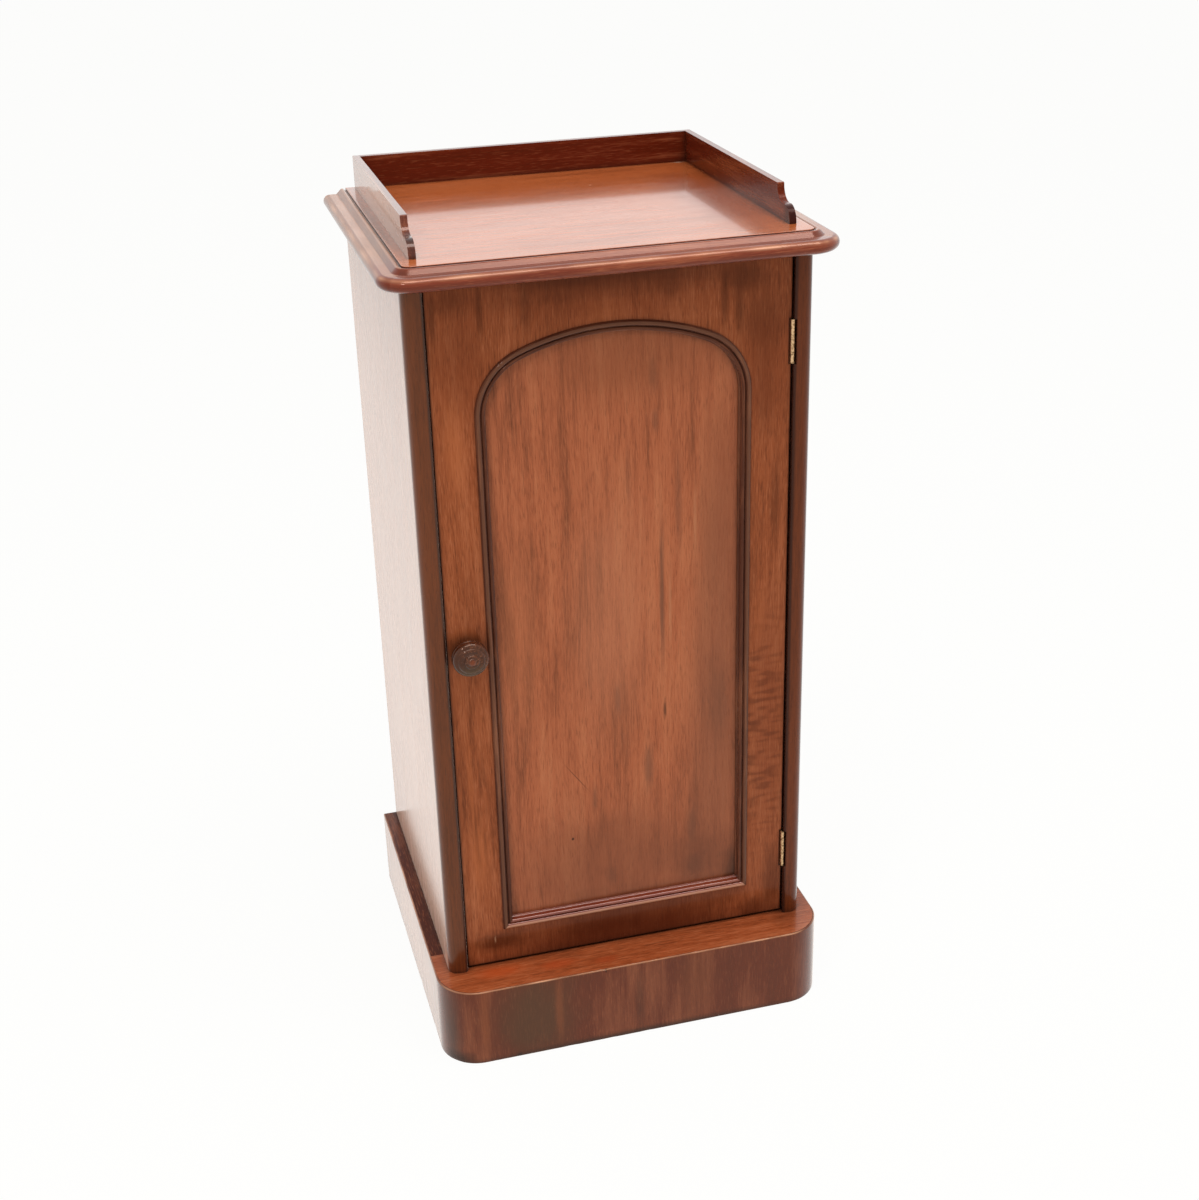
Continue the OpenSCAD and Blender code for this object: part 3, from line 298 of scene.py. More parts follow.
def wood_place(tree, grain, seed, own_grain=False):
    """The place of a point, and coordinates in metres whose third axis runs along the grain and
    sways by up to 11 mm."""
    if own_grain:
        place = add(tree, "Attribute", output="Vector", attribute_name="grain")
    else:
        place = add(tree, "TexCoord", output="Object")
    axes = add(tree, "SeparateXYZ", {0: place}, None).outputs
    order = {"X": (1, 2, 0), "Y": (2, 0, 1), "Z": (0, 1, 2)}[grain]
    turned = add(tree, "CombineXYZ", {i: axes[axis] for i, axis in enumerate(order)})
    # each seed starts the figure somewhere else
    moved = add(tree, "VectorMath", {0: turned, 1: (seed * 1.37, seed * 0.71, seed * 2.11)},
                operation="ADD")
    # the sway changes over 110 mm across the grain and 450 mm along it
    slow = add(tree, "VectorMath", {0: moved, 1: (9.0, 9.0, 2.2)}, operation="MULTIPLY")
    sway = add(tree, "TexNoise", {"Vector": slow, "Scale": 1.0, "Detail": 1.0}, "Color")
    shift = add(tree, "VectorMath", {0: sway, 1: (0.022, 0.022, 0.0), 2: (-0.011, -0.011, 0.0)},
                operation="MULTIPLY_ADD")
    return place, add(tree, "VectorMath", {0: moved, 1: shift}, operation="ADD")


def smudge(tree, place, centre, radii, ragged=0.25, lean=0.0):
    """Distance from the centre of a patch, 1 at its ragged edge; centre and radii in millimetres,
    and lean the angle in degrees that it is turned by, seen from the front."""
    unit = add(tree, "Mapping", {"Vector": place, "Location": [c * MM for c in centre],
                                 "Rotation": (0.0, math.radians(lean), 0.0),
                                 "Scale": [r * MM for r in radii]}, vector_type="TEXTURE")
    # its edge wavers by bumps 0.4 of the radius wide
    wobble = add(tree, "TexNoise", {"Vector": unit, "Scale": 2.6, "Detail": 2.0}, "Color")
    moved = add(tree, "VectorMath", {0: wobble, 1: (2 * ragged,) * 3, 2: (-ragged,) * 3},
                operation="MULTIPLY_ADD")
    shaken = add(tree, "VectorMath", {0: unit, 1: moved}, operation="ADD")
    return add(tree, "VectorMath", {0: shaken}, "Value", operation="LENGTH")


def mahogany(name, pale, grain="Z", seed=0, own_grain=False, drift=0.5, bands=0.5, lines=0.6,
             pores=0.6, wax_and_shade=0.7, rough=0.26, ripples=(), lipping=None, lip_coat=1.0,
             amber="#c08a60", polish=1.2, body=1.5, film=0.08, reach=9.0, relief=0.12, haze=0.0):
    """Cuban mahogany, French polished: shellac rubbed on by hand gives a soft clear gloss over a
    red-brown wood with soft bands, fine lines and pores and, in places, a ripple across it."""
    colours, _ = chosen()
    shade, glow, grime_and_shade = rgba(colours.shade), rgba(colours.glow), rgba(colours.grime_and_shade)
    material = bpy.data.materials.new(name)
    tree = blank_tree(material)
    place, wood = wood_place(tree, grain, seed, own_grain)
    # broad changes of tone 45 mm wide, bands of 9 mm, and lines of 1.5 by 34 mm
    layers = ((45, 170, 2.0, 0.5, 1.6 * drift), (9, 140, 3.0, 0.5, 1.5 * bands),
              (1.5, 34, 3.0, 0.65, 1.9 * lines))
    depth = -0.5 * sum(layer[-1] for layer in layers)
    for *shape, strength in layers:
        depth = add(tree, "Math", {0: figure(tree, wood, *shape), 1: strength, 2: depth},
                    operation="MULTIPLY_ADD")
    base = lay(tree, rgba(pale), glow, depth, 0.0, -0.5, 0.5, "LINEAR")
    base = lay(tree, base, shade, depth, 0.0, 0.6, 0.6, "LINEAR")
    # pores are 0.3 mm wide in the wood; drawn 0.9 mm wide so that they still show in a render
    fine = figure(tree, wood, 0.9, 11, 1.0, 0.5)
    base = lay(tree, base, shade, fine, *PORE, 0.6 * pores)
    base = lay(tree, base, glow, fine, 0.44, 0.28, 0.5 * pores)
    for centre, radii, across, along, strength in ripples:
        # bars where the grain rises and dips, dark on one slope and light on the other
        bars = figure(tree, wood, across, along, 0.0, 0.5)
        spot = smudge(tree, place, centre, radii)
        for tint, high, most in ((shade, 0.72, strength), (glow, 0.25, 0.3 * strength)):
            here = add(tree, "MapRange", {0: spot, 1: PATCH[0], 2: PATCH[1], 4: most}, **SMOOTH)
            base = lay(tree, base, tint, bars, 0.45, high, here)
    for centre, radii, tint, strength, *more in MARKS.get(name, ()):
        spot = smudge(tree, place, centre, radii, *more)
        base = lay(tree, base, rgba(linear(tint)), spot, *PATCH, strength)
    gloss, coat = rough - 0.1, 1.0
    if lipping is not None:
        x, y, _ = add(tree, "SeparateXYZ", {0: place}, None).outputs
        off_middle = add(tree, "Math", {0: x}, operation="ABSOLUTE")
        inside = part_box("right_side")[0].x
        # the front edge of each side is a strip of darker solid wood, painted darker still for the
        # dark reflection off its round, and darkened beside the door as painted shade of the gap,
        # with some grime
        dark = lay(tree, rgba(colours.edge), shade, depth, -0.3, 0.5, 0.6)
        dark = lay(tree, dark, shade, fine, *PORE, 0.4)
        # painted shade of the gap beside the door, with some grime
        dark = lay(tree, dark, grime_and_shade, off_middle, inside + 3.8 * MM, inside + MM, 0.9)
        seam = lipping + 1.2 * MM
        base = lay(tree, base, dark, y, seam, lipping)
        if lip_coat < 1.0:
            # hands have rubbed most of the shellac off it
            coat = add(tree, "MapRange", {0: y, 1: seam, 2: lipping, 3: 1.0, 4: lip_coat}, **SMOOTH)
        # the faces that look into the cupboard were stained and never polished
        bare = add(tree, "Math", {0: off_middle, 1: inside + 0.3 * MM}, operation="LESS_THAN")
        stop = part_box("bottom_board")[0].y - 0.1 * MM
        behind = add(tree, "Math", {0: y, 1: stop}, operation="GREATER_THAN")
        bare = add(tree, "Math", {0: bare, 1: behind}, operation="MULTIPLY")
        base = lay(tree, base, rgba(colours.deal_dark), bare, 0.0, 1.0, 0.45)
        gloss = add(tree, "Math", {0: bare, 1: 0.3, 2: gloss}, operation="MULTIPLY_ADD")
    # darker where less of the sky is open, in corners and under the parts over the wood: painted
    # shade, with some old wax and dust
    sky = add(tree, "AmbientOcclusion", {"Distance": reach * MM}, "AO", samples=8)
    base = lay(tree, base, grime_and_shade, sky, *CORNER, wax_and_shade)
    # per-vertex values that darken hollows and lighten crests: partly wear and old wax, partly
    # painted shade and painted highlights
    worn = add(tree, "Attribute", output="Fac", attribute_name="wear_and_painted_light")
    base = lay(tree, base, grime_and_shade, worn, 0.0, -1.0)
    base = lay(tree, base, rgba(linear("#dba27c")), worn, 0.0, 1.0, 0.85, "LINEAR")
    uneven = figure(tree, wood, 14, 60, 2.0, 0.6)
    gloss = add(tree, "Math", {0: uneven, 1: 0.2, 2: gloss}, operation="MULTIPLY_ADD")
    sunk = add(tree, "MapRange", {0: fine, 1: PORE[0], 2: PORE[1], 4: -1.0}, **SMOOTH)
    raised = add(tree, "Math", {0: depth, 1: 0.4, 2: sunk}, operation="MULTIPLY_ADD")
    bump = add(tree, "Bump", {"Height": raised, "Strength": relief, "Distance": 0.06 * MM})
    # old shellac is amber: warm and dim seen from the front, clear and bright at a low angle,
    # where the dust and the fine rubbing in it also catch the light
    surface(tree, {"Base Color": base, "Roughness": gloss, "Normal": bump, "IOR": body,
                   "Specular Tint": rgba(linear(amber)), "Coat Weight": coat,
                   "Coat Roughness": film, "Coat IOR": polish, "Sheen Weight": haze,
                   "Sheen Roughness": 0.25, "Sheen Tint": rgba(linear("#ffe2d0"))})
    return material


def stained_deal(name, grain, seed):
    """Deal, planed and stained brown but not polished: matt, with straight lines of late wood."""
    colours, _ = chosen()
    dark = rgba(colours.deal_dark)
    material = bpy.data.materials.new(name)
    tree = blank_tree(material)
    _, wood = wood_place(tree, grain, seed)
    # lines of late wood 3.2 mm apart, broad changes of tone, and the fibres
    late = figure(tree, wood, 3.2, 300, 1.0, 0.4)
    rings = add(tree, "MapRange", {0: late, 1: 0.42, 2: 0.68}, **SMOOTH)
    tone = figure(tree, wood, 45, 260, 3.0, 0.6)
    fine = figure(tree, wood, 0.8, 22, 2.0, 0.6)
    sky = add(tree, "AmbientOcclusion", {"Distance": 14 * MM}, "AO", samples=8)
    base = lay(tree, rgba(colours.deal), dark, rings, 0.0, 1.0, 0.7, "LINEAR")
    base = lay(tree, base, dark, tone, 0.45, 0.8, 0.55)
    base = lay(tree, base, dark, fine, 0.55, 0.8, 0.35)
    # darker in the corners and under other parts: painted shade
    base = lay(tree, base, rgba(colours.grime_and_shade), sky, *CORNER, 0.7)
    rough = add(tree, "MapRange", {0: tone, 1: 0.2, 2: 0.8, 3: 0.62, 4: 0.8}, **SMOOTH)
    height = add(tree, "Math", {0: rings, 1: fine}, operation="ADD")
    bump = add(tree, "Bump", {"Height": height, "Strength": 0.35, "Distance": 0.15 * MM})
    surface(tree, {"Base Color": base, "Roughness": rough, "Normal": bump, "IOR": 1.45})
    return material


def old_metal(name, tint, tarnish, rough):
    """A metal left to dull: bright where it is handled, brown in its corners and grain."""
    material = bpy.data.materials.new(name)
    tree = blank_tree(material)
    place = add(tree, "TexCoord", output="Object")
    # clouds of tarnish about 2.4 mm across, and a grain of 0.4 mm
    cloud = add(tree, "TexNoise", {"Vector": place, "Scale": 420.0, "Detail": 3.0})
    fine = add(tree, "TexNoise", {"Vector": place, "Scale": 2600.0, "Detail": 2.0})
    sky = add(tree, "AmbientOcclusion", {"Distance": 2 * MM}, "AO", samples=8)
    spots, corners = [add(tree, "MapRange", {0: value, 1: low, 2: high, 4: most}, **SMOOTH) for
                      value, low, high, most in ((cloud, 0.42, 0.62, 0.75), (sky, *CORNER, 0.8))]
    dull = add(tree, "Math", {0: spots, 1: corners}, operation="ADD")
    base = lay(tree, rgba(tint), rgba(linear(tarnish)), dull, 0.0, 1.0, step="LINEAR")
    gloss = add(tree, "MapRange", {0: fine, 1: 0.3, 2: 0.7, 3: rough - 0.08, 4: rough + 0.12},
                **SMOOTH)
    bump = add(tree, "Bump", {"Height": fine, "Strength": 0.2, "Distance": 0.03 * MM})
    surface(tree, {"Base Color": base, "Roughness": gloss, "Normal": bump, "Metallic": 1.0})
    return material


# ---------------- meshes

def new_piece(name, rows, faces, body, material, smooth=38.0, merge=False):
    """A mesh object in the row frame, made in millimetres, that rides on a body."""
    mesh = bpy.data.meshes.new(name)
    mesh.from_pydata([Vector(p) * MM for p in rows], [], faces)
    shape = bmesh.new()
    shape.from_mesh(mesh)
    if merge:
        bmesh.ops.remove_doubles(shape, verts=shape.verts, dist=1e-7)
    bmesh.ops.recalc_face_normals(shape, faces=shape.faces)
    shape.to_mesh(mesh)
    shape.free()
    piece = bpy.data.objects.new(name, mesh)
    bpy.context.scene.collection.objects.link(piece)
    mesh.shade_smooth()
    mesh.set_sharp_from_angle(angle=math.radians(smooth))
    mesh.materials.append(material)
    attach(piece, body)
    return piece


def mark_vertices(piece, name, values, kind="FLOAT"):
    """Stores one value for each vertex, for the piece's material to read."""
    layer = piece.data.attributes.new(name, kind, "POINT")
    layer.data.foreach_set("vector" if kind == "FLOAT_VECTOR" else "value", values)


def arc(centre, radius, start, end, steps):
    """Points on an arc between two angles in degrees."""
    turns = [math.radians(start + (end - start) * i / steps) for i in range(steps + 1)]
    return [(centre[0] + radius * math.cos(turn), centre[1] + radius * math.sin(turn))
            for turn in turns]


def skin(count, ring, first=0, loop=False, closed=True, caps=False):
    """Faces between sections that follow each other from a first point. With loop the last one
    joins the first, with closed each section joins its own ends, and caps close both ends."""
    faces = []
    for i in range(count if loop else count - 1):
        near, far = first + i * ring, first + (i + 1) % count * ring
        for j in range(ring if closed else ring - 1):
            k = (j + 1) % ring
            faces.append((near + j, near + k, far + k, far + j))
    if caps:
        faces += [tuple(range(at, at + ring)) for at in (first, first + (count - 1) * ring)]
    return faces


def walk(points):
    """Distance along a line of points, at each of them."""
    total, out = 0.0, [0.0]
    for a, b in zip(points, points[1:]):
        total += math.dist(a, b)
        out.append(total)
    return out


def rounded_path(half, front, back, radius, inset, gap):
    """Outline of a front with two round corners, set in by inset, from the back left to the back
    right, as points about a gap apart, in mm."""
    corner_x, corner_y, turn_steps = half - radius, front + radius, 24
    sides = max(1, round((back - corner_y) / gap))
    along = max(1, round(2 * corner_x / gap))
    points = [(-half + inset, back + (corner_y - back) * i / sides) for i in range(sides)]
    points += arc((-corner_x, corner_y), radius - inset, 180, 270, turn_steps)
    points += [(-corner_x + 2 * corner_x * i / along, front + inset) for i in range(1, along)]
    points += arc((corner_x, corner_y), radius - inset, 270, 360, turn_steps)
    points += [(half - inset, corner_y + (back - corner_y) * i / sides)
               for i in range(1, sides + 1)]
    return points


def dress(names, material, arris=None):
    """Gives nodes of the frame their finish and, where an arris is given, rounds their sharp
    edges as far as sanding does."""
    for name in names.split():
        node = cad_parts[name]
        node.data.materials.clear()
        node.data.materials.append(material)
        if arris:
            node.modifiers.new("weld", "WELD").merge_threshold = 0.01 * MM
            bevel = node.modifiers.new("arris", "BEVEL")
            bevel.width, bevel.segments = arris, 2
            bevel.limit_method, bevel.angle_limit = "ANGLE", math.radians(30)
            node.modifiers.new("even normals", "WEIGHTED_NORMAL")


# ---------------- the pieces

class CUPBOARD_OT_stage(bpy.types.Operator):
    """Makes the camera, the pale floor, the soft daylight and the lamps"""
    bl_idname = "cupboard.stage"
    bl_label = "Stage"

    def execute(self, context):
        scene = context.scene
        scene.view_settings.view_transform = "Standard"
        self.camera(scene)
        self.floor(scene)
        self.daylight(scene)
        for name, place, size, watts in (("lamp_over", (0.15, -0.8, 3.0), (2.6, 0.9), 52.0),
                                         ("lamp_left", (-1.5, -1.7, 2.3), (0.3, 0.3), 9.0),
                                         ("lamp_behind", (1.0, 3.2, 1.75), (1.9, 1.9), 3.0)):
            self.lamp(scene, name, place, size, watts)
        return {"FINISHED"}

    def camera(self, scene):
        """A camera at the photograph's place and angles, solved from the straight edges."""
        place = (-0.40690, -1.60005, 1.17868)
        yaw, pitch, roll = 0.25882, 0.43690, 0.028057
        lens = bpy.data.cameras.new("camera")
        lens.sensor_width = 36.0
        lens.lens = 53.84
        lens.clip_end = 100.0
        camera = bpy.data.objects.new("camera", lens)
        camera.matrix_world = (
            Matrix.Translation(place) @ Matrix.Rotation(-yaw, 4, "Z")
            @ Matrix.Rotation(math.pi / 2 - pitch, 4, "X") @ Matrix.Rotation(-roll, 4, "Z"))
        scene.collection.objects.link(camera)
        scene.camera = camera

    def floor(self, scene):
        """A wide painted floor that the camera sees as white, with the cupboard's shadow on it."""
        reach = 20.0
        mesh = bpy.data.meshes.new("floor")
        mesh.from_pydata([(-reach, -reach, 0), (reach, -reach, 0), (reach, reach, 0),
                          (-reach, reach, 0)], [], [(0, 1, 2, 3)])
        floor = bpy.data.objects.new("floor", mesh)
        scene.collection.objects.link(floor)
        material = bpy.data.materials.new("painted_floor")
        tree = blank_tree(material)
        paint = add(tree, "BsdfDiffuse", {"Color": rgba(scene.cupboard_colours.floor)})
        white = add(tree, "Emission", {"Color": (1.0, 1.0, 0.99, 1.0), "Strength": 1.0})
        share = add(tree, "Math", {0: self.seen(tree), 1: 0.95}, operation="MULTIPLY")
        both = add(tree, "MixShader", {0: share, 1: paint, 2: white})
        add(tree, "OutputMaterial", {"Surface": both}, None)
        mesh.materials.append(material)

    def seen(self, tree):
        """1 for a ray that the camera or a reflection sees, and 0 for light on the object."""
        path = add(tree, "LightPath", output=None).outputs
        seen = path["Is Camera Ray"]
        for ray in ("Is Glossy Ray", "Is Transmission Ray"):
            seen = add(tree, "Math", {0: seen, 1: path[ray]}, operation="MAXIMUM")
        return seen

    def daylight(self, scene):
        """Even light from all round, seen as white."""
        scene.world = bpy.data.worlds.new("studio")
        tree = blank_tree(scene.world)
        white = (1.0, 1.0, 1.0, 1.0)
        light, seen = [add(tree, "Background", {"Color": white, "Strength": strength})
                       for strength in (0.5, 1.0)]
        both = add(tree, "MixShader", {0: self.seen(tree), 1: light, 2: seen})
        add(tree, "OutputWorld", {"Surface": both}, None)

    def lamp(self, scene, name, place, size, watts):
        """A soft lamp turned to the middle of the cupboard."""
        light = bpy.data.lights.new(name, "AREA")
        light.shape = "RECTANGLE"
        light.size, light.size_y = size
        light.energy = watts
        lamp = bpy.data.objects.new(name, light)
        lamp.location = place
        aim = Vector((0.0, 0.0, 0.45)) - Vector(place)
        lamp.rotation_mode = "QUATERNION"
        lamp.rotation_quaternion = aim.to_track_quat("-Z", "Y")
        lamp.visible_camera = False
        scene.collection.objects.link(lamp)


class CUPBOARD_OT_case(bpy.types.Operator):
    """Finishes the two sides of the case, with their dark front edges"""
    bl_idname = "cupboard.case"
    bl_label = "Case sides"

    def execute(self, context):
        colours, sizes = chosen()
        lip = 11.0 * MM          # how far back the dark strip reaches
        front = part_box("left_side")[0].y + lip
        # the left side's lighter colour and its pale patch are painted reflection
        left = mahogany("case_mahogany_left", colours.faded, seed=3, lines=0.8, lipping=front,
                        lip_coat=0.35, amber="#d09860", polish=1.5, film=0.17, relief=0.4,
                        haze=0.8)
        right = mahogany("case_mahogany_right", colours.case, seed=5, lipping=front,
                         amber="#a86848")
        dress("left_side", left, sizes.arris)
        dress("right_side", right, sizes.arris)
        return {"FINISHED"}


class CUPBOARD_OT_hidden_boards(bpy.types.Operator):
    """Finishes the deal boards inside, under and behind the case, and their nails and screws"""
    bl_idname = "cupboard.hidden_boards"
    bl_label = "Hidden boards"

    def execute(self, context):
        colours, sizes = chosen()
        for way, grain, seed, boards in (
                ("across", "X", 2, "bottom_board top_front_rail top_back_rail shelf"
                                   " plinth_front_rail plinth_back_rail"),
                ("upright", "Z", 4, "back_board_left back_board_middle back_board_right"
                                    " plinth_corner_left plinth_corner_right plinth_glue_blocks"
                                    " gallery_dowels panel_bead"),
                ("deep", "Y", 6, "plinth_left_rail plinth_right_rail shelf_bearer_left"
                                 " shelf_bearer_right top_glue_blocks")):
            dress(boards, stained_deal("deal_" + way, grain, seed), sizes.arris)
        iron = old_metal("wrought_iron", colours.iron, "#3c2a20", 0.5)
        dress("plinth_screws back_nails bearer_screws top_screws catch_spindle", iron)
        return {"FINISHED"}


class CUPBOARD_OT_plinth(bpy.types.Operator):
    """Makes the plinth's facing with its worn edges, and finishes the strips that cap it"""
    bl_idname = "cupboard.plinth"
    bl_label = "Plinth"

    def execute(self, context):
        colours, sizes = chosen()
        facing = mahogany("plinth_facing_mahogany", colours.plinth, seed=7, drift=0.7, bands=0.35,
                          lines=0.2, pores=0.25, polish=1.22, haze=0.8)
        front = mahogany("plinth_cap_mahogany", colours.cap, grain="X", seed=8, bands=0.6,
                         lines=1.0)
        side = mahogany("plinth_side_cap_mahogany", colours.cap_side, grain="Y", seed=9,
                        amber="#8a4420", polish=1.06, body=1.42)
        self.facing(sizes, facing)
        dress("plinth_cap_front", front)
        dress("plinth_cap_left plinth_cap_right", side)
        return {"FINISHED"}

    def facing(self, sizes, wood):
        """The thin strip bent round the plinth, with its worn arris, its knocks and its chips."""
        (_, front, _), (half, back, top) = box_mm("plinth_facing")
        radius, thick = 39.0, 1.6
        worn, dent = sizes.plinth_arris / MM, sizes.plinth_dents / MM
        # section from the foot of the inner face, out, up the front and over the worn arris:
        # distance in from the outer face, height, how much lighter the arris is painted, for wear
        # and a painted highlight
        section = [(thick, 0.0, 0.0), (0.5, 0.0, 0.2), (0.12, 0.3, 0.2), (0.0, 1.2, 0.0),
                   (0.0, 4.0, 0.0), (0.0, 9.0, 0.0), (0.0, top - 9.0, 0.0), (0.0, top - 3.5, 0.0),
                   (0.0, top - worn - 0.4, 0.0)]
        section += [(worn - a, top - worn + b, bright) for (a, b), bright in
                    zip(arc((0, 0), worn, 0, 90, 6), (0.35, 0.518, 0.848, 1.0, 1.0, 0.913, 0.572))]
        section += [(thick, top, 0.0)]
        paths = [rounded_path(half, front, back, radius, inset, 3.0) for inset, _, _ in section]
        middle = rounded_path(half, front, back, radius, 0.0, 3.0)
        # the hardest knocks: across, along, half width, depth
        knocks = ((-34.8, -180.0, 1.6, 1.5), (-158.0, -180.0, 1.1, 0.5), (60.0, -180.0, 2.4, 0.5),
                  (-200.0, -52.0, 2.2, 0.8), (-200.0, 70.0, 1.8, 0.7), (131.0, -180.0, 1.5, 0.5))
        rows, wear_and_painted_light = [], []
        for n, (mid, s) in enumerate(zip(middle, walk(middle))):
            knock = sum(deep * max(0.0, 1 - math.dist(mid, (x, y)) / width)
                        for x, y, width, deep in knocks)
            chip = max(0.0, noise.noise(Vector((s * 0.05, 9.0, 0.0))) - 0.12)
            chip *= 0.5 + 0.5 * noise.noise(Vector((s * 0.45, 1.0, 2.0)))
            patchy = 0.55 + 0.9 * noise.noise(Vector((s * 0.035, 5.0, 1.0)))
            outward = Vector((mid[0] - max(-half + radius, min(half - radius, mid[0])),
                              mid[1] - max(front + radius, mid[1])))
            if outward.length > 0:
                outward.normalize()
            for path, (inset, z, bright) in zip(paths, section):
                inward = 0.0
                if z > top - 3.0 and inset < thick:
                    rough = noise.noise(Vector((s * 0.11, 3.0, z * 0.02)))
                    sag = dent * 0.35 * max(0.0, rough) + 0.05 + knock
                    z -= sag * (1.0 if z > top - worn else 0.25)
                    inward = 0.35 * sag
                elif z < 9.0 and inset < thick:
                    inward = dent * 2.2 * chip * (1 - z / 9.0)
                    z += inward * 1.3 * (z < 1.0)
                x, y = path[n]
                rows.append((x - outward.x * inward, y - outward.y * inward, z))
                wear_and_painted_light.append(max(0.0, min(1.0, bright * patchy)))
        faces = skin(len(middle), len(section), caps=True)
        piece = new_piece("plinth_facing_strip", rows, faces, "case", wood)
        mark_vertices(piece, "wear_and_painted_light", wear_and_painted_light)
        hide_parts("plinth_facing")


class CUPBOARD_OT_top(bpy.types.Operator):
    """Makes the moulded top: a flat field, a quirk and ovolo, a slope, a cove and a round nose"""
    bl_idname = "cupboard.top"
    bl_label = "Moulded top"

    def execute(self, context):
        colours, _ = chosen()
        board = mahogany("top_mahogany", colours.top, grain="X", seed=11, pores=0.5, rough=0.22,
                         amber="#fcc890", polish=1.17)
        # the moulded edge cuts through the grain and holds more stain than the flat field
        edge = mahogany("top_edge_mahogany", colours.top_edge, seed=20, own_grain=True, drift=0.4,
                        bands=0.8, lines=0.5, pores=0.3, rough=0.2, film=0.13, amber="#e8a080",
                        polish=1.24)
        # the runs down the sides cut across the grain, which drinks the polish and stays dull
        end = mahogany("top_edge_mahogany_sides", colours.top_ends, seed=23, own_grain=True,
                       lines=0.5, pores=0.3, rough=0.34, amber="#c88c60", body=1.45, film=0.2)
        (_, front, base), (half, back, _) = box_mm("moulded_top")
        radius = 30.5            # of the nose round the front corners
        side = half - 26.0       # beyond this the edge runs down a side
        # distance in from the nose, height over the underside
        section = [(24.5, 18.0), (23.0, 18.0), (22.75, 17.93), (22.55, 17.7), (22.5, 17.4),
                   (22.5, 16.1), (22.4, 15.93), (22.2, 15.9), (21.75, 15.9)]
        for centre, bend, start, stop, steps in (((11.3, 14.9), 2.6, 157.4, 45, 14),
                                                 ((18.188, 14.8), 2.2, 225, 270, 8),
                                                 ((24.2, 6.3), 6.3, 90, -90, 26)):
            section += [(radius - u, z) for u, z in arc(centre, bend, start, stop, steps)]
        section += [(24.5, 0.0)]
        paths = [rounded_path(half, front, back, radius, inset, 8.0) for inset, _ in section]
        count, ring = len(paths[0]), len(section)
        rows = [(*paths[j][i], base + section[j][1]) for i in range(count) for j in range(ring)]
        faces = skin(count, ring, closed=False)
        last = (count - 1) * ring
        faces.append(tuple(i * ring for i in range(count)))
        faces.append(tuple(i * ring + ring - 1 for i in reversed(range(count))))
        faces.append(tuple(range(ring)) + tuple(last + j for j in reversed(range(ring))))
        piece = new_piece("moulded_top_board", rows, faces, "case", board)
        piece.data.materials.append(edge)
        piece.data.materials.append(end)
        for face in piece.data.polygons:
            station, place = divmod(face.index, ring - 1)
            if station < count - 1 and place >= 2:
                face.material_index = 2 if abs(paths[0][station][0]) > side else 1
        mark_vertices(piece, "grain", [
            value * MM for s in walk(paths[0]) for inset, z in section for value in (inset, z, s)],
            "FLOAT_VECTOR")
        # painted shade in the quirk and under the ovolo, a painted highlight on the nose, and the
        # ovolo and the slope painted lighter, most on the runs down the sides; partly where hands
        # rub the nose and the slope
        painted_shade = {**dict.fromkeys(range(3, 10), -0.4), **dict.fromkeys(range(23, 27), -0.45)}
        nose = 39                # the point of the section that stands out most
        wear_and_painted_light = []
        for i, (x, _) in enumerate(paths[0]):
            patchy = max(0.2, 0.5 + noise.noise(Vector((i * 0.21, 0.0, 4.0))))
            rub_and_highlight = 0.06 if abs(x) < side else 0.2 + 0.2 * patchy
            wear_and_painted_light += [painted_shade.get(j, 0.0) + 0.7 * max(0.0, 1 - abs(j - nose) / 4) * patchy
                     + rub_and_highlight * (10 < j < 34) for j in range(ring)]
        mark_vertices(piece, "wear_and_painted_light", wear_and_painted_light)
        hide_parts("moulded_top")
        return {"FINISHED"}


class CUPBOARD_OT_gallery(bpy.types.Operator):
    """Finishes the gallery's three boards"""
    bl_idname = "cupboard.gallery"
    bl_label = "Gallery"

    def execute(self, context):
        colours, _ = chosen()
        for side, finish in (
                ("back", dict(grain="X", seed=12, bands=0.7, lines=0.4, pores=0.25,
                              amber="#8a4020", polish=1.1)),
                ("left", dict(grain="Y", seed=13, pores=0.3, amber="#c07c50", polish=1.36,
                              relief=0.05, haze=0.8)),
                ("right", dict(grain="Y", seed=21, bands=0.6, lines=0.4, pores=0.3,
                               amber="#7a3c20", polish=1.1))):
            wood = mahogany("gallery_mahogany_" + side, colours.gallery, **finish)
            dress("gallery_" + side, wood, 0.7 * MM)
        return {"FINISHED"}


ARCH_FOOT, ARCH_HALF, CROWN_Z, CROWN_R, SHOULDER_R = 126.0, 128.0, 502.5, 235.0, 64.0
SPRING_Z = CROWN_Z + math.sqrt((CROWN_R - SHOULDER_R) ** 2 - (ARCH_HALF - SHOULDER_R) ** 2)
ARCH_TURN = math.degrees(math.atan2(SPRING_Z - CROWN_Z, ARCH_HALF - SHOULDER_R))


def arch_path():
    """The moulding's outer line, up the left, over the arch and down the right: points across
    and up in mm, each with the direction towards the panel, which at the feet is the mitre's."""
    shoulder_x, steps = ARCH_HALF - SHOULDER_R, 40
    stations = [((-ARCH_HALF, ARCH_FOOT), (1.0, 1.0))]
    for centre, radius, start, end, count in (
            ((-shoulder_x, SPRING_Z), SHOULDER_R, 180, 180 - ARCH_TURN, steps),
            ((0.0, CROWN_Z), CROWN_R, 180 - ARCH_TURN, ARCH_TURN, 2 * steps),
            ((shoulder_x, SPRING_Z), SHOULDER_R, ARCH_TURN, 0, steps)):
        for point in arc(centre, radius, start, end, count)[0 if start == 180 else 1:]:
            inward = ((centre[0] - point[0]) / radius, (centre[1] - point[1]) / radius)
            stations.append((point, inward))
    stations.append(((ARCH_HALF, ARCH_FOOT), (-1.0, 1.0)))
    return stations


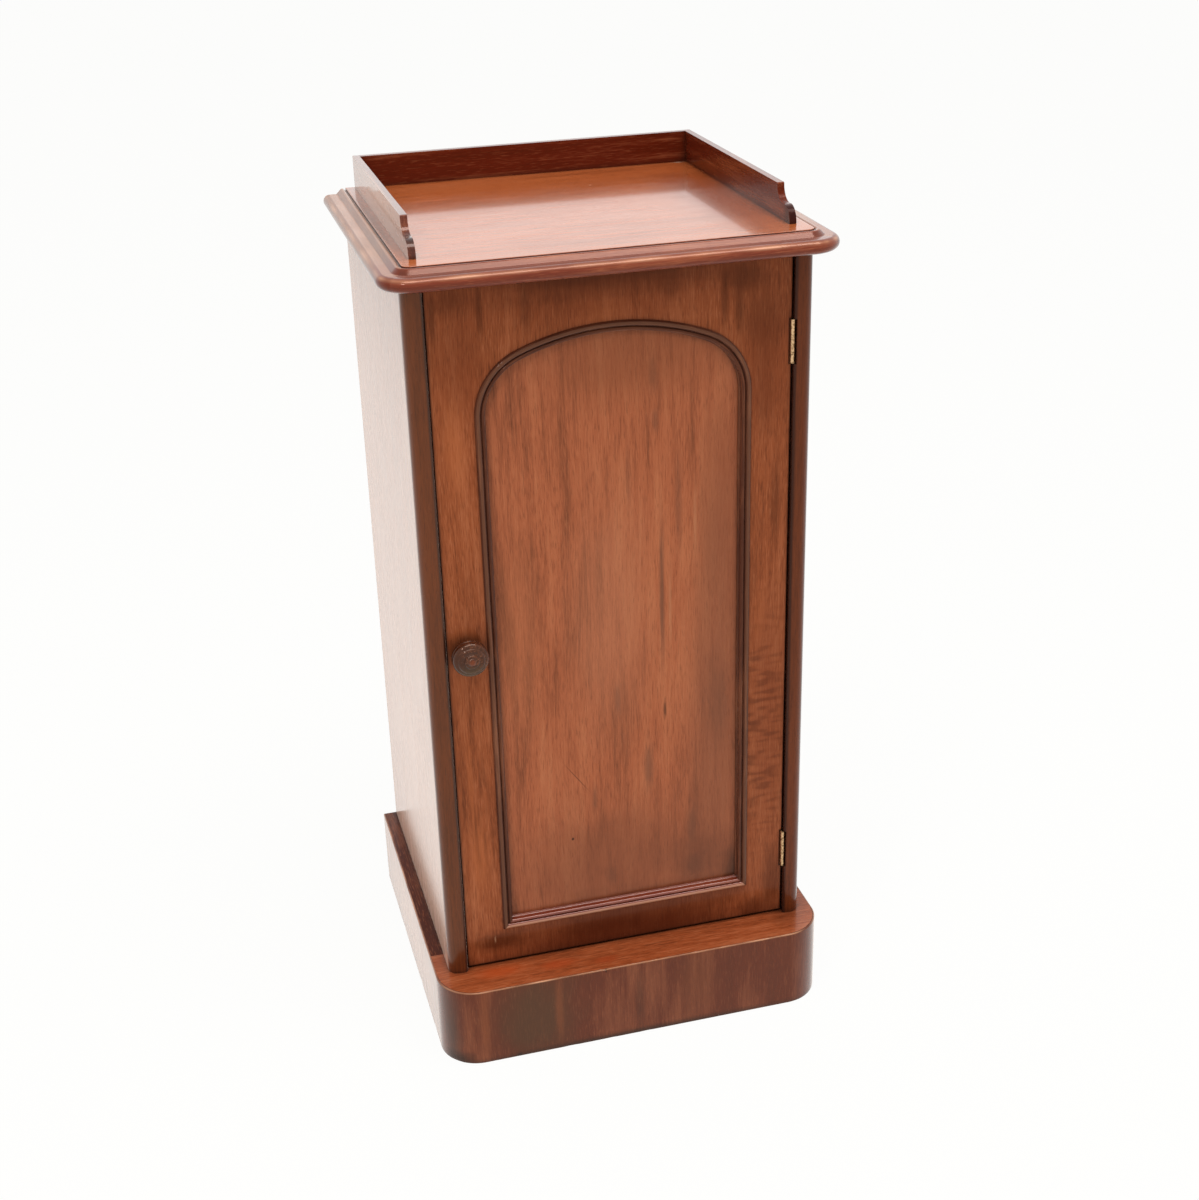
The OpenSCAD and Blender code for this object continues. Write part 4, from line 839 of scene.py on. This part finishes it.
class CUPBOARD_OT_door(bpy.types.Operator):
    """Makes the door's face with its softened edges, and finishes its frame and panel"""
    bl_idname = "cupboard.door"
    bl_label = "Door"

    def execute(self, context):
        colours, _ = chosen()
        face = mahogany("door_face_mahogany", colours.door, seed=14, reach=14.0, amber="#a86438",
                        polish=1.14, ripples=(
                            ((144, -137, 310), (34, 9, 190), 20, 5.5, 0.6),
                            ((-148, -137, 262), (24, 9, 110), 4, 46, 0.6)))
        panel = mahogany("panel_mahogany", colours.panel, seed=15, drift=0.8, bands=1.0,
                         pores=0.5, reach=20.0)
        self.face(face)
        dress("door_panel", panel)
        dress("lock_stile hinge_stile", mahogany("door_frame_mahogany", colours.door, seed=16))
        dress("arched_top_rail bottom_rail",
              mahogany("door_rail_mahogany", colours.door, grain="X", seed=17))
        return {"FINISHED"}

    def outline(self, inset):
        """Outer edge of the face, with the two notches for the hinges."""
        (left, _, foot), (right, _, head) = box_mm("door_face_veneer")
        notch, room = 2.2, 0.3   # depth of a notch, and its room over and under the leaf
        points = [(left + inset, foot + inset), (right - inset, foot + inset)]
        for name in ("lower_hinge_door_leaf", "upper_hinge_door_leaf"):
            (_, _, bottom), (_, _, top) = box_mm(name)
            bottom, top = bottom - room - inset, top + room + inset
            points += [(right - inset, bottom), (right - notch - inset, bottom),
                       (right - notch - inset, top), (right - inset, top)]
        points += [(right - inset, head - inset), (left + inset, head - inset)]
        return points

    def face(self, wood):
        """The veneered face, with its opening cut under the moulding's lap."""
        (_, front, _), (_, back, _) = box_mm("door_face_veneer")
        lap = 5.0                # the moulding laps the frame's edge by this much
        hole = [(x + lap * a, z + lap * b) for (x, z), (a, b) in arch_path()]
        # rings from the front over the softened arris to the back: inset, depth, and how much
        # darker it is made towards the edge and in the gap, painted shade of the gap with some old
        # wax
        arris = ((2.4, 0.0, 0.0), (0.75, 0.0, -0.45), (0.45, 0.05, -0.75), (0.18, 0.24, -0.9),
                 (0.0, 0.6, -1.0), (0.0, back - front, -1.0))
        rows = [(x, front + y, z) for inset, y, _ in arris for x, z in self.outline(inset)]
        around, cut, base = len(rows) // len(arris), len(hole), len(rows)
        rows += [(x, y, z) for y in (front, back) for x, z in hole]
        faces = skin(len(arris), around) + skin(2, cut, first=base)
        for outer, inner in ((0, base), (base - around, base + cut)):
            index = [*range(outer, outer + around)], [*range(inner, inner + cut)]
            loops = [[Vector((rows[i][0], rows[i][2], 0)) for i in part] for part in index]
            index = index[0] + index[1]
            faces += [tuple(index[i] for i in triangle)
                      for triangle in geometry.tessellate_polygon(loops)]
        piece = new_piece("door_face", rows, faces, "door", wood)
        # the face darkens towards its edges and on the edges in the gap: painted shade, with some
        # old wax
        wax = [held for _, _, held in arris for _ in range(around)]
        mark_vertices(piece, "wear_and_painted_light", wax + [0.0] * (2 * cut))
        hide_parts("door_face_veneer")


class CUPBOARD_OT_panel_moulding(bpy.types.Operator):
    """Makes the two-bead moulding round the door's panel, mitred at its lower corners"""
    bl_idname = "cupboard.panel_moulding"
    bl_label = "Panel moulding"

    def execute(self, context):
        colours, _ = chosen()
        cut = dict(own_grain=True, bands=0.3, lines=0.4, pores=0.1, wax_and_shade=0.2)
        wood = mahogany("moulding_mahogany", colours.moulding, seed=18, rough=0.24,
                        amber="#a87c60", polish=1.14, **cut)
        # the length across the foot is a lighter, glossier copy: painted highlight for the light it
        # faces, partly rubbed brighter
        bright = mahogany("moulding_mahogany_foot", colours.top_edge, seed=22, rough=0.1,
                          amber="#ffc0a8", polish=1.5, **cut)
        arch = arch_path()
        self.strip("panel_moulding_arch", arch, 0.1, wood,
                   "moulding_left", "moulding_right", "moulding_crown",
                   "moulding_left_shoulder", "moulding_right_shoulder")
        self.strip("panel_moulding_foot", [arch[0], arch[-1]], 0.55, bright, "moulding_bottom")
        return {"FINISHED"}

    def strip(self, name, stations, rub_and_highlight, wood, *nodes):
        """A length of the moulding along its stations, painted lighter on the crest of its bead: a
        painted highlight, partly rubbing.
        """
        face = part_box("door_face_veneer")[0].y / MM
        crest, start = 2.9, 19.0     # height of the bead's crest; where the figure begins, in m
        # section: distance in from the outer line, and out of the door's face
        section = [(0.0, 0.0)] + arc((2.7, 0.5), 2.7, 180, 0, 20)
        section += [(5.42, 0.5), (5.6, 0.45), (5.78, 0.5)] + arc((7.6, 0.4), 1.8, 180, 0, 14)
        section += arc((10.8, -2.8), 1.4, 180, 258, 7)
        section += [(10.72, -4.26), (10.8, -4.4), (10.8, -5.5), (5.3, -5.5), (5.3, 0.0)]
        rows, grain, wear_and_painted_light = [], [], []
        for ((x, z), (a, b)), s in zip(stations, walk([point for point, _ in stations])):
            for u, v in section:
                rows.append((x + a * u, face - v, z + b * u))
                grain += [u * MM, v * MM, s * MM + start]
                wear_and_painted_light.append(rub_and_highlight if v > crest else 0.0)
        piece = new_piece(name, rows, skin(len(stations), len(section), caps=True), "door",
                          wood)
        mark_vertices(piece, "grain", grain, "FLOAT_VECTOR")
        mark_vertices(piece, "wear_and_painted_light", wear_and_painted_light)
        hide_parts(*nodes)


class CUPBOARD_OT_knob(bpy.types.Operator):
    """Makes the turned knob and finishes the catch behind the door"""
    bl_idname = "cupboard.knob"
    bl_label = "Knob and catch"

    def execute(self, context):
        colours, sizes = chosen()
        wood = mahogany("knob_mahogany", colours.knob, grain="Y", seed=19, rough=0.08, bands=0.3,
                        wax_and_shade=0.4, pores=0.1, amber="#d8a888", polish=1.24, film=0.09)
        (left, _, low), (right, back, high) = box_mm("knob")
        across, up, foot = (left + right) / 2, (low + high) / 2, back + 0.3
        # turned profile: distance from the axis, and out of the door
        profile = [(0.0, 0.3), (8.6, 0.3), (9.1, 0.45), (9.5, 0.9), (9.6, 1.5), (9.4, 2.1),
                   (8.9, 2.6), (8.2, 3.2), (7.8, 4.1), (7.8, 5.2), (8.3, 6.3)]
        profile += arc((12.6, 10.3), 4.4, -135, 36, 18) + arc((12.9, 16.3), 4.1, -36, 74, 16)
        profile += [(13.5, 20.38), (13.1, 20.3), (12.75, 20.5), (12.4, 20.95), (12.0, 21.35),
                    (11.4, 21.68), (10.6, 21.85), (9.7, 21.82), (8.9, 21.66), (8.2, 21.5),
                    (7.7, 21.45), (7.35, 21.55), (7.15, 21.9), (7.0, 22.4), (6.7, 22.9),
                    (6.2, 23.3), (5.6, 23.52), (5.0, 23.5), (4.55, 23.35), (4.2, 23.25)]
        profile += arc((0.0, 20.4), 5.0, 36, 90, 12)
        steps = sizes.knob_steps
        rows = [(across + r * a, foot - h, up + r * b)
                for a, b in arc((0, 0), 1.0, 0, 360, steps)[:-1] for r, h in profile]
        faces = skin(steps, len(profile), loop=True, closed=False)
        piece = new_piece("turned_knob", rows, faces, "turn_catch", wood,
                          smooth=70.0, merge=True)
        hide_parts("knob")
        dress("catch_tongue catch_nut", old_metal("catch_brass", colours.brass, "#5a4022", 0.38),
              0.3 * MM)
        return {"FINISHED"}


class CUPBOARD_OT_hinges(bpy.types.Operator):
    """Finishes the brass butt hinges and makes their slotted screws"""
    bl_idname = "cupboard.hinges"
    bl_label = "Hinges"

    def execute(self, context):
        brass = old_metal("hinge_brass", context.scene.cupboard_colours.brass, "#6a4a28", 0.34)
        dress("upper_hinge_case_leaf lower_hinge_case_leaf upper_hinge_door_leaf"
              " lower_hinge_door_leaf", brass, 0.2 * MM)
        dress("upper_hinge_pin lower_hinge_pin", brass)
        for body, side in (("case", 1), ("door", -1)):
            self.screws(body, side, context.scene.cupboard_sizes.screw_slot / MM / 2, brass)
        return {"FINISHED"}

    def screws(self, body, side, gap, brass):
        """Countersunk screws with a slot across each head, pointing along side times X; gap is
        half the slot's width."""
        node = f"hinge_{body}_screws"
        (left, y0, _), (right, y1, _) = box_mm(node)
        face, y = left if side > 0 else right, (y0 + y1) / 2
        steps, head = 32, 2.8
        start = math.degrees(math.asin(gap / head))
        rim = arc((0, 0), head, start, 180 - start, steps)
        under = [(0.86 * a, max(gap, 0.86 * b)) for a, b in rim]
        shank = ((0.0, 1.0), (2.2, 1.0), (1.4, 1.8), (1.4, 10.0), (0.0, 13.0))
        rows, faces = [], []
        leaves = [box_mm(f"{which}_hinge_{body}_leaf") for which in ("lower", "upper")]
        for number, (low, high) in enumerate(leaves):
            for k, share in enumerate((0.25, 0.75)):
                z = low[2] + (high[2] - low[2]) * share
                # no two slots stop at the same angle
                turn = math.radians(37 + 71 * (2 * number + k) + 20 * side)
                # the head in two halves with the slot between them, on one tapered shank
                for half in (1, -1):
                    faces += skin(3, steps + 1, first=len(rows), caps=True)
                    for depth, ring in ((0.0, rim), (0.4, rim), (1.0, under)):
                        rows += [(face + side * depth,
                                  y + half * (a * math.cos(turn) - b * math.sin(turn)),
                                  z + half * (a * math.sin(turn) + b * math.cos(turn)))
                                 for a, b in ring]
                faces += skin(steps, len(shank), first=len(rows), loop=True, closed=False)
                rows += [(face + side * depth, y + r * a, z + r * b)
                         for a, b in arc((0, 0), 1.0, 0, 360, steps)[:-1] for r, depth in shank]
        piece = new_piece(f"slotted_{node}", rows, faces, body, brass, merge=True)
        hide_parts(node)


class CUPBOARD_PT_panel(bpy.types.Panel):
    """Lists the cupboard's pieces in the order in which they are made"""
    bl_idname = "CUPBOARD_PT_panel"
    bl_label = "Bedside pot cupboard"
    bl_space_type = "VIEW_3D"
    bl_region_type = "UI"
    bl_category = "Cupboard"

    def draw(self, context):
        for operator in OPERATORS:
            self.layout.operator(operator.bl_idname)
        for group in (context.scene.cupboard_sizes, context.scene.cupboard_colours):
            box = self.layout.box()
            for key in group.bl_rna.properties.keys():
                if key not in ("rna_type", "name"):
                    box.prop(group, key)


OPERATORS = (CUPBOARD_OT_stage, CUPBOARD_OT_case, CUPBOARD_OT_hidden_boards, CUPBOARD_OT_plinth,
             CUPBOARD_OT_top, CUPBOARD_OT_gallery, CUPBOARD_OT_door, CUPBOARD_OT_panel_moulding,
             CUPBOARD_OT_knob, CUPBOARD_OT_hinges)
CLASSES = (CupboardSizes, CupboardColours, *OPERATORS, CUPBOARD_PT_panel)


def register():
    for each in CLASSES:
        bpy.utils.register_class(each)
    bpy.types.Scene.cupboard_sizes = bpy.props.PointerProperty(type=CupboardSizes)
    bpy.types.Scene.cupboard_colours = bpy.props.PointerProperty(type=CupboardColours)


def unregister():
    del bpy.types.Scene.cupboard_colours
    del bpy.types.Scene.cupboard_sizes
    for each in reversed(CLASSES):
        bpy.utils.unregister_class(each)


def main():
    register()
    for operator in OPERATORS:
        group, name = operator.bl_idname.split(".")
        getattr(getattr(bpy.ops, group), name)()


if __name__ == "__main__":
    main()
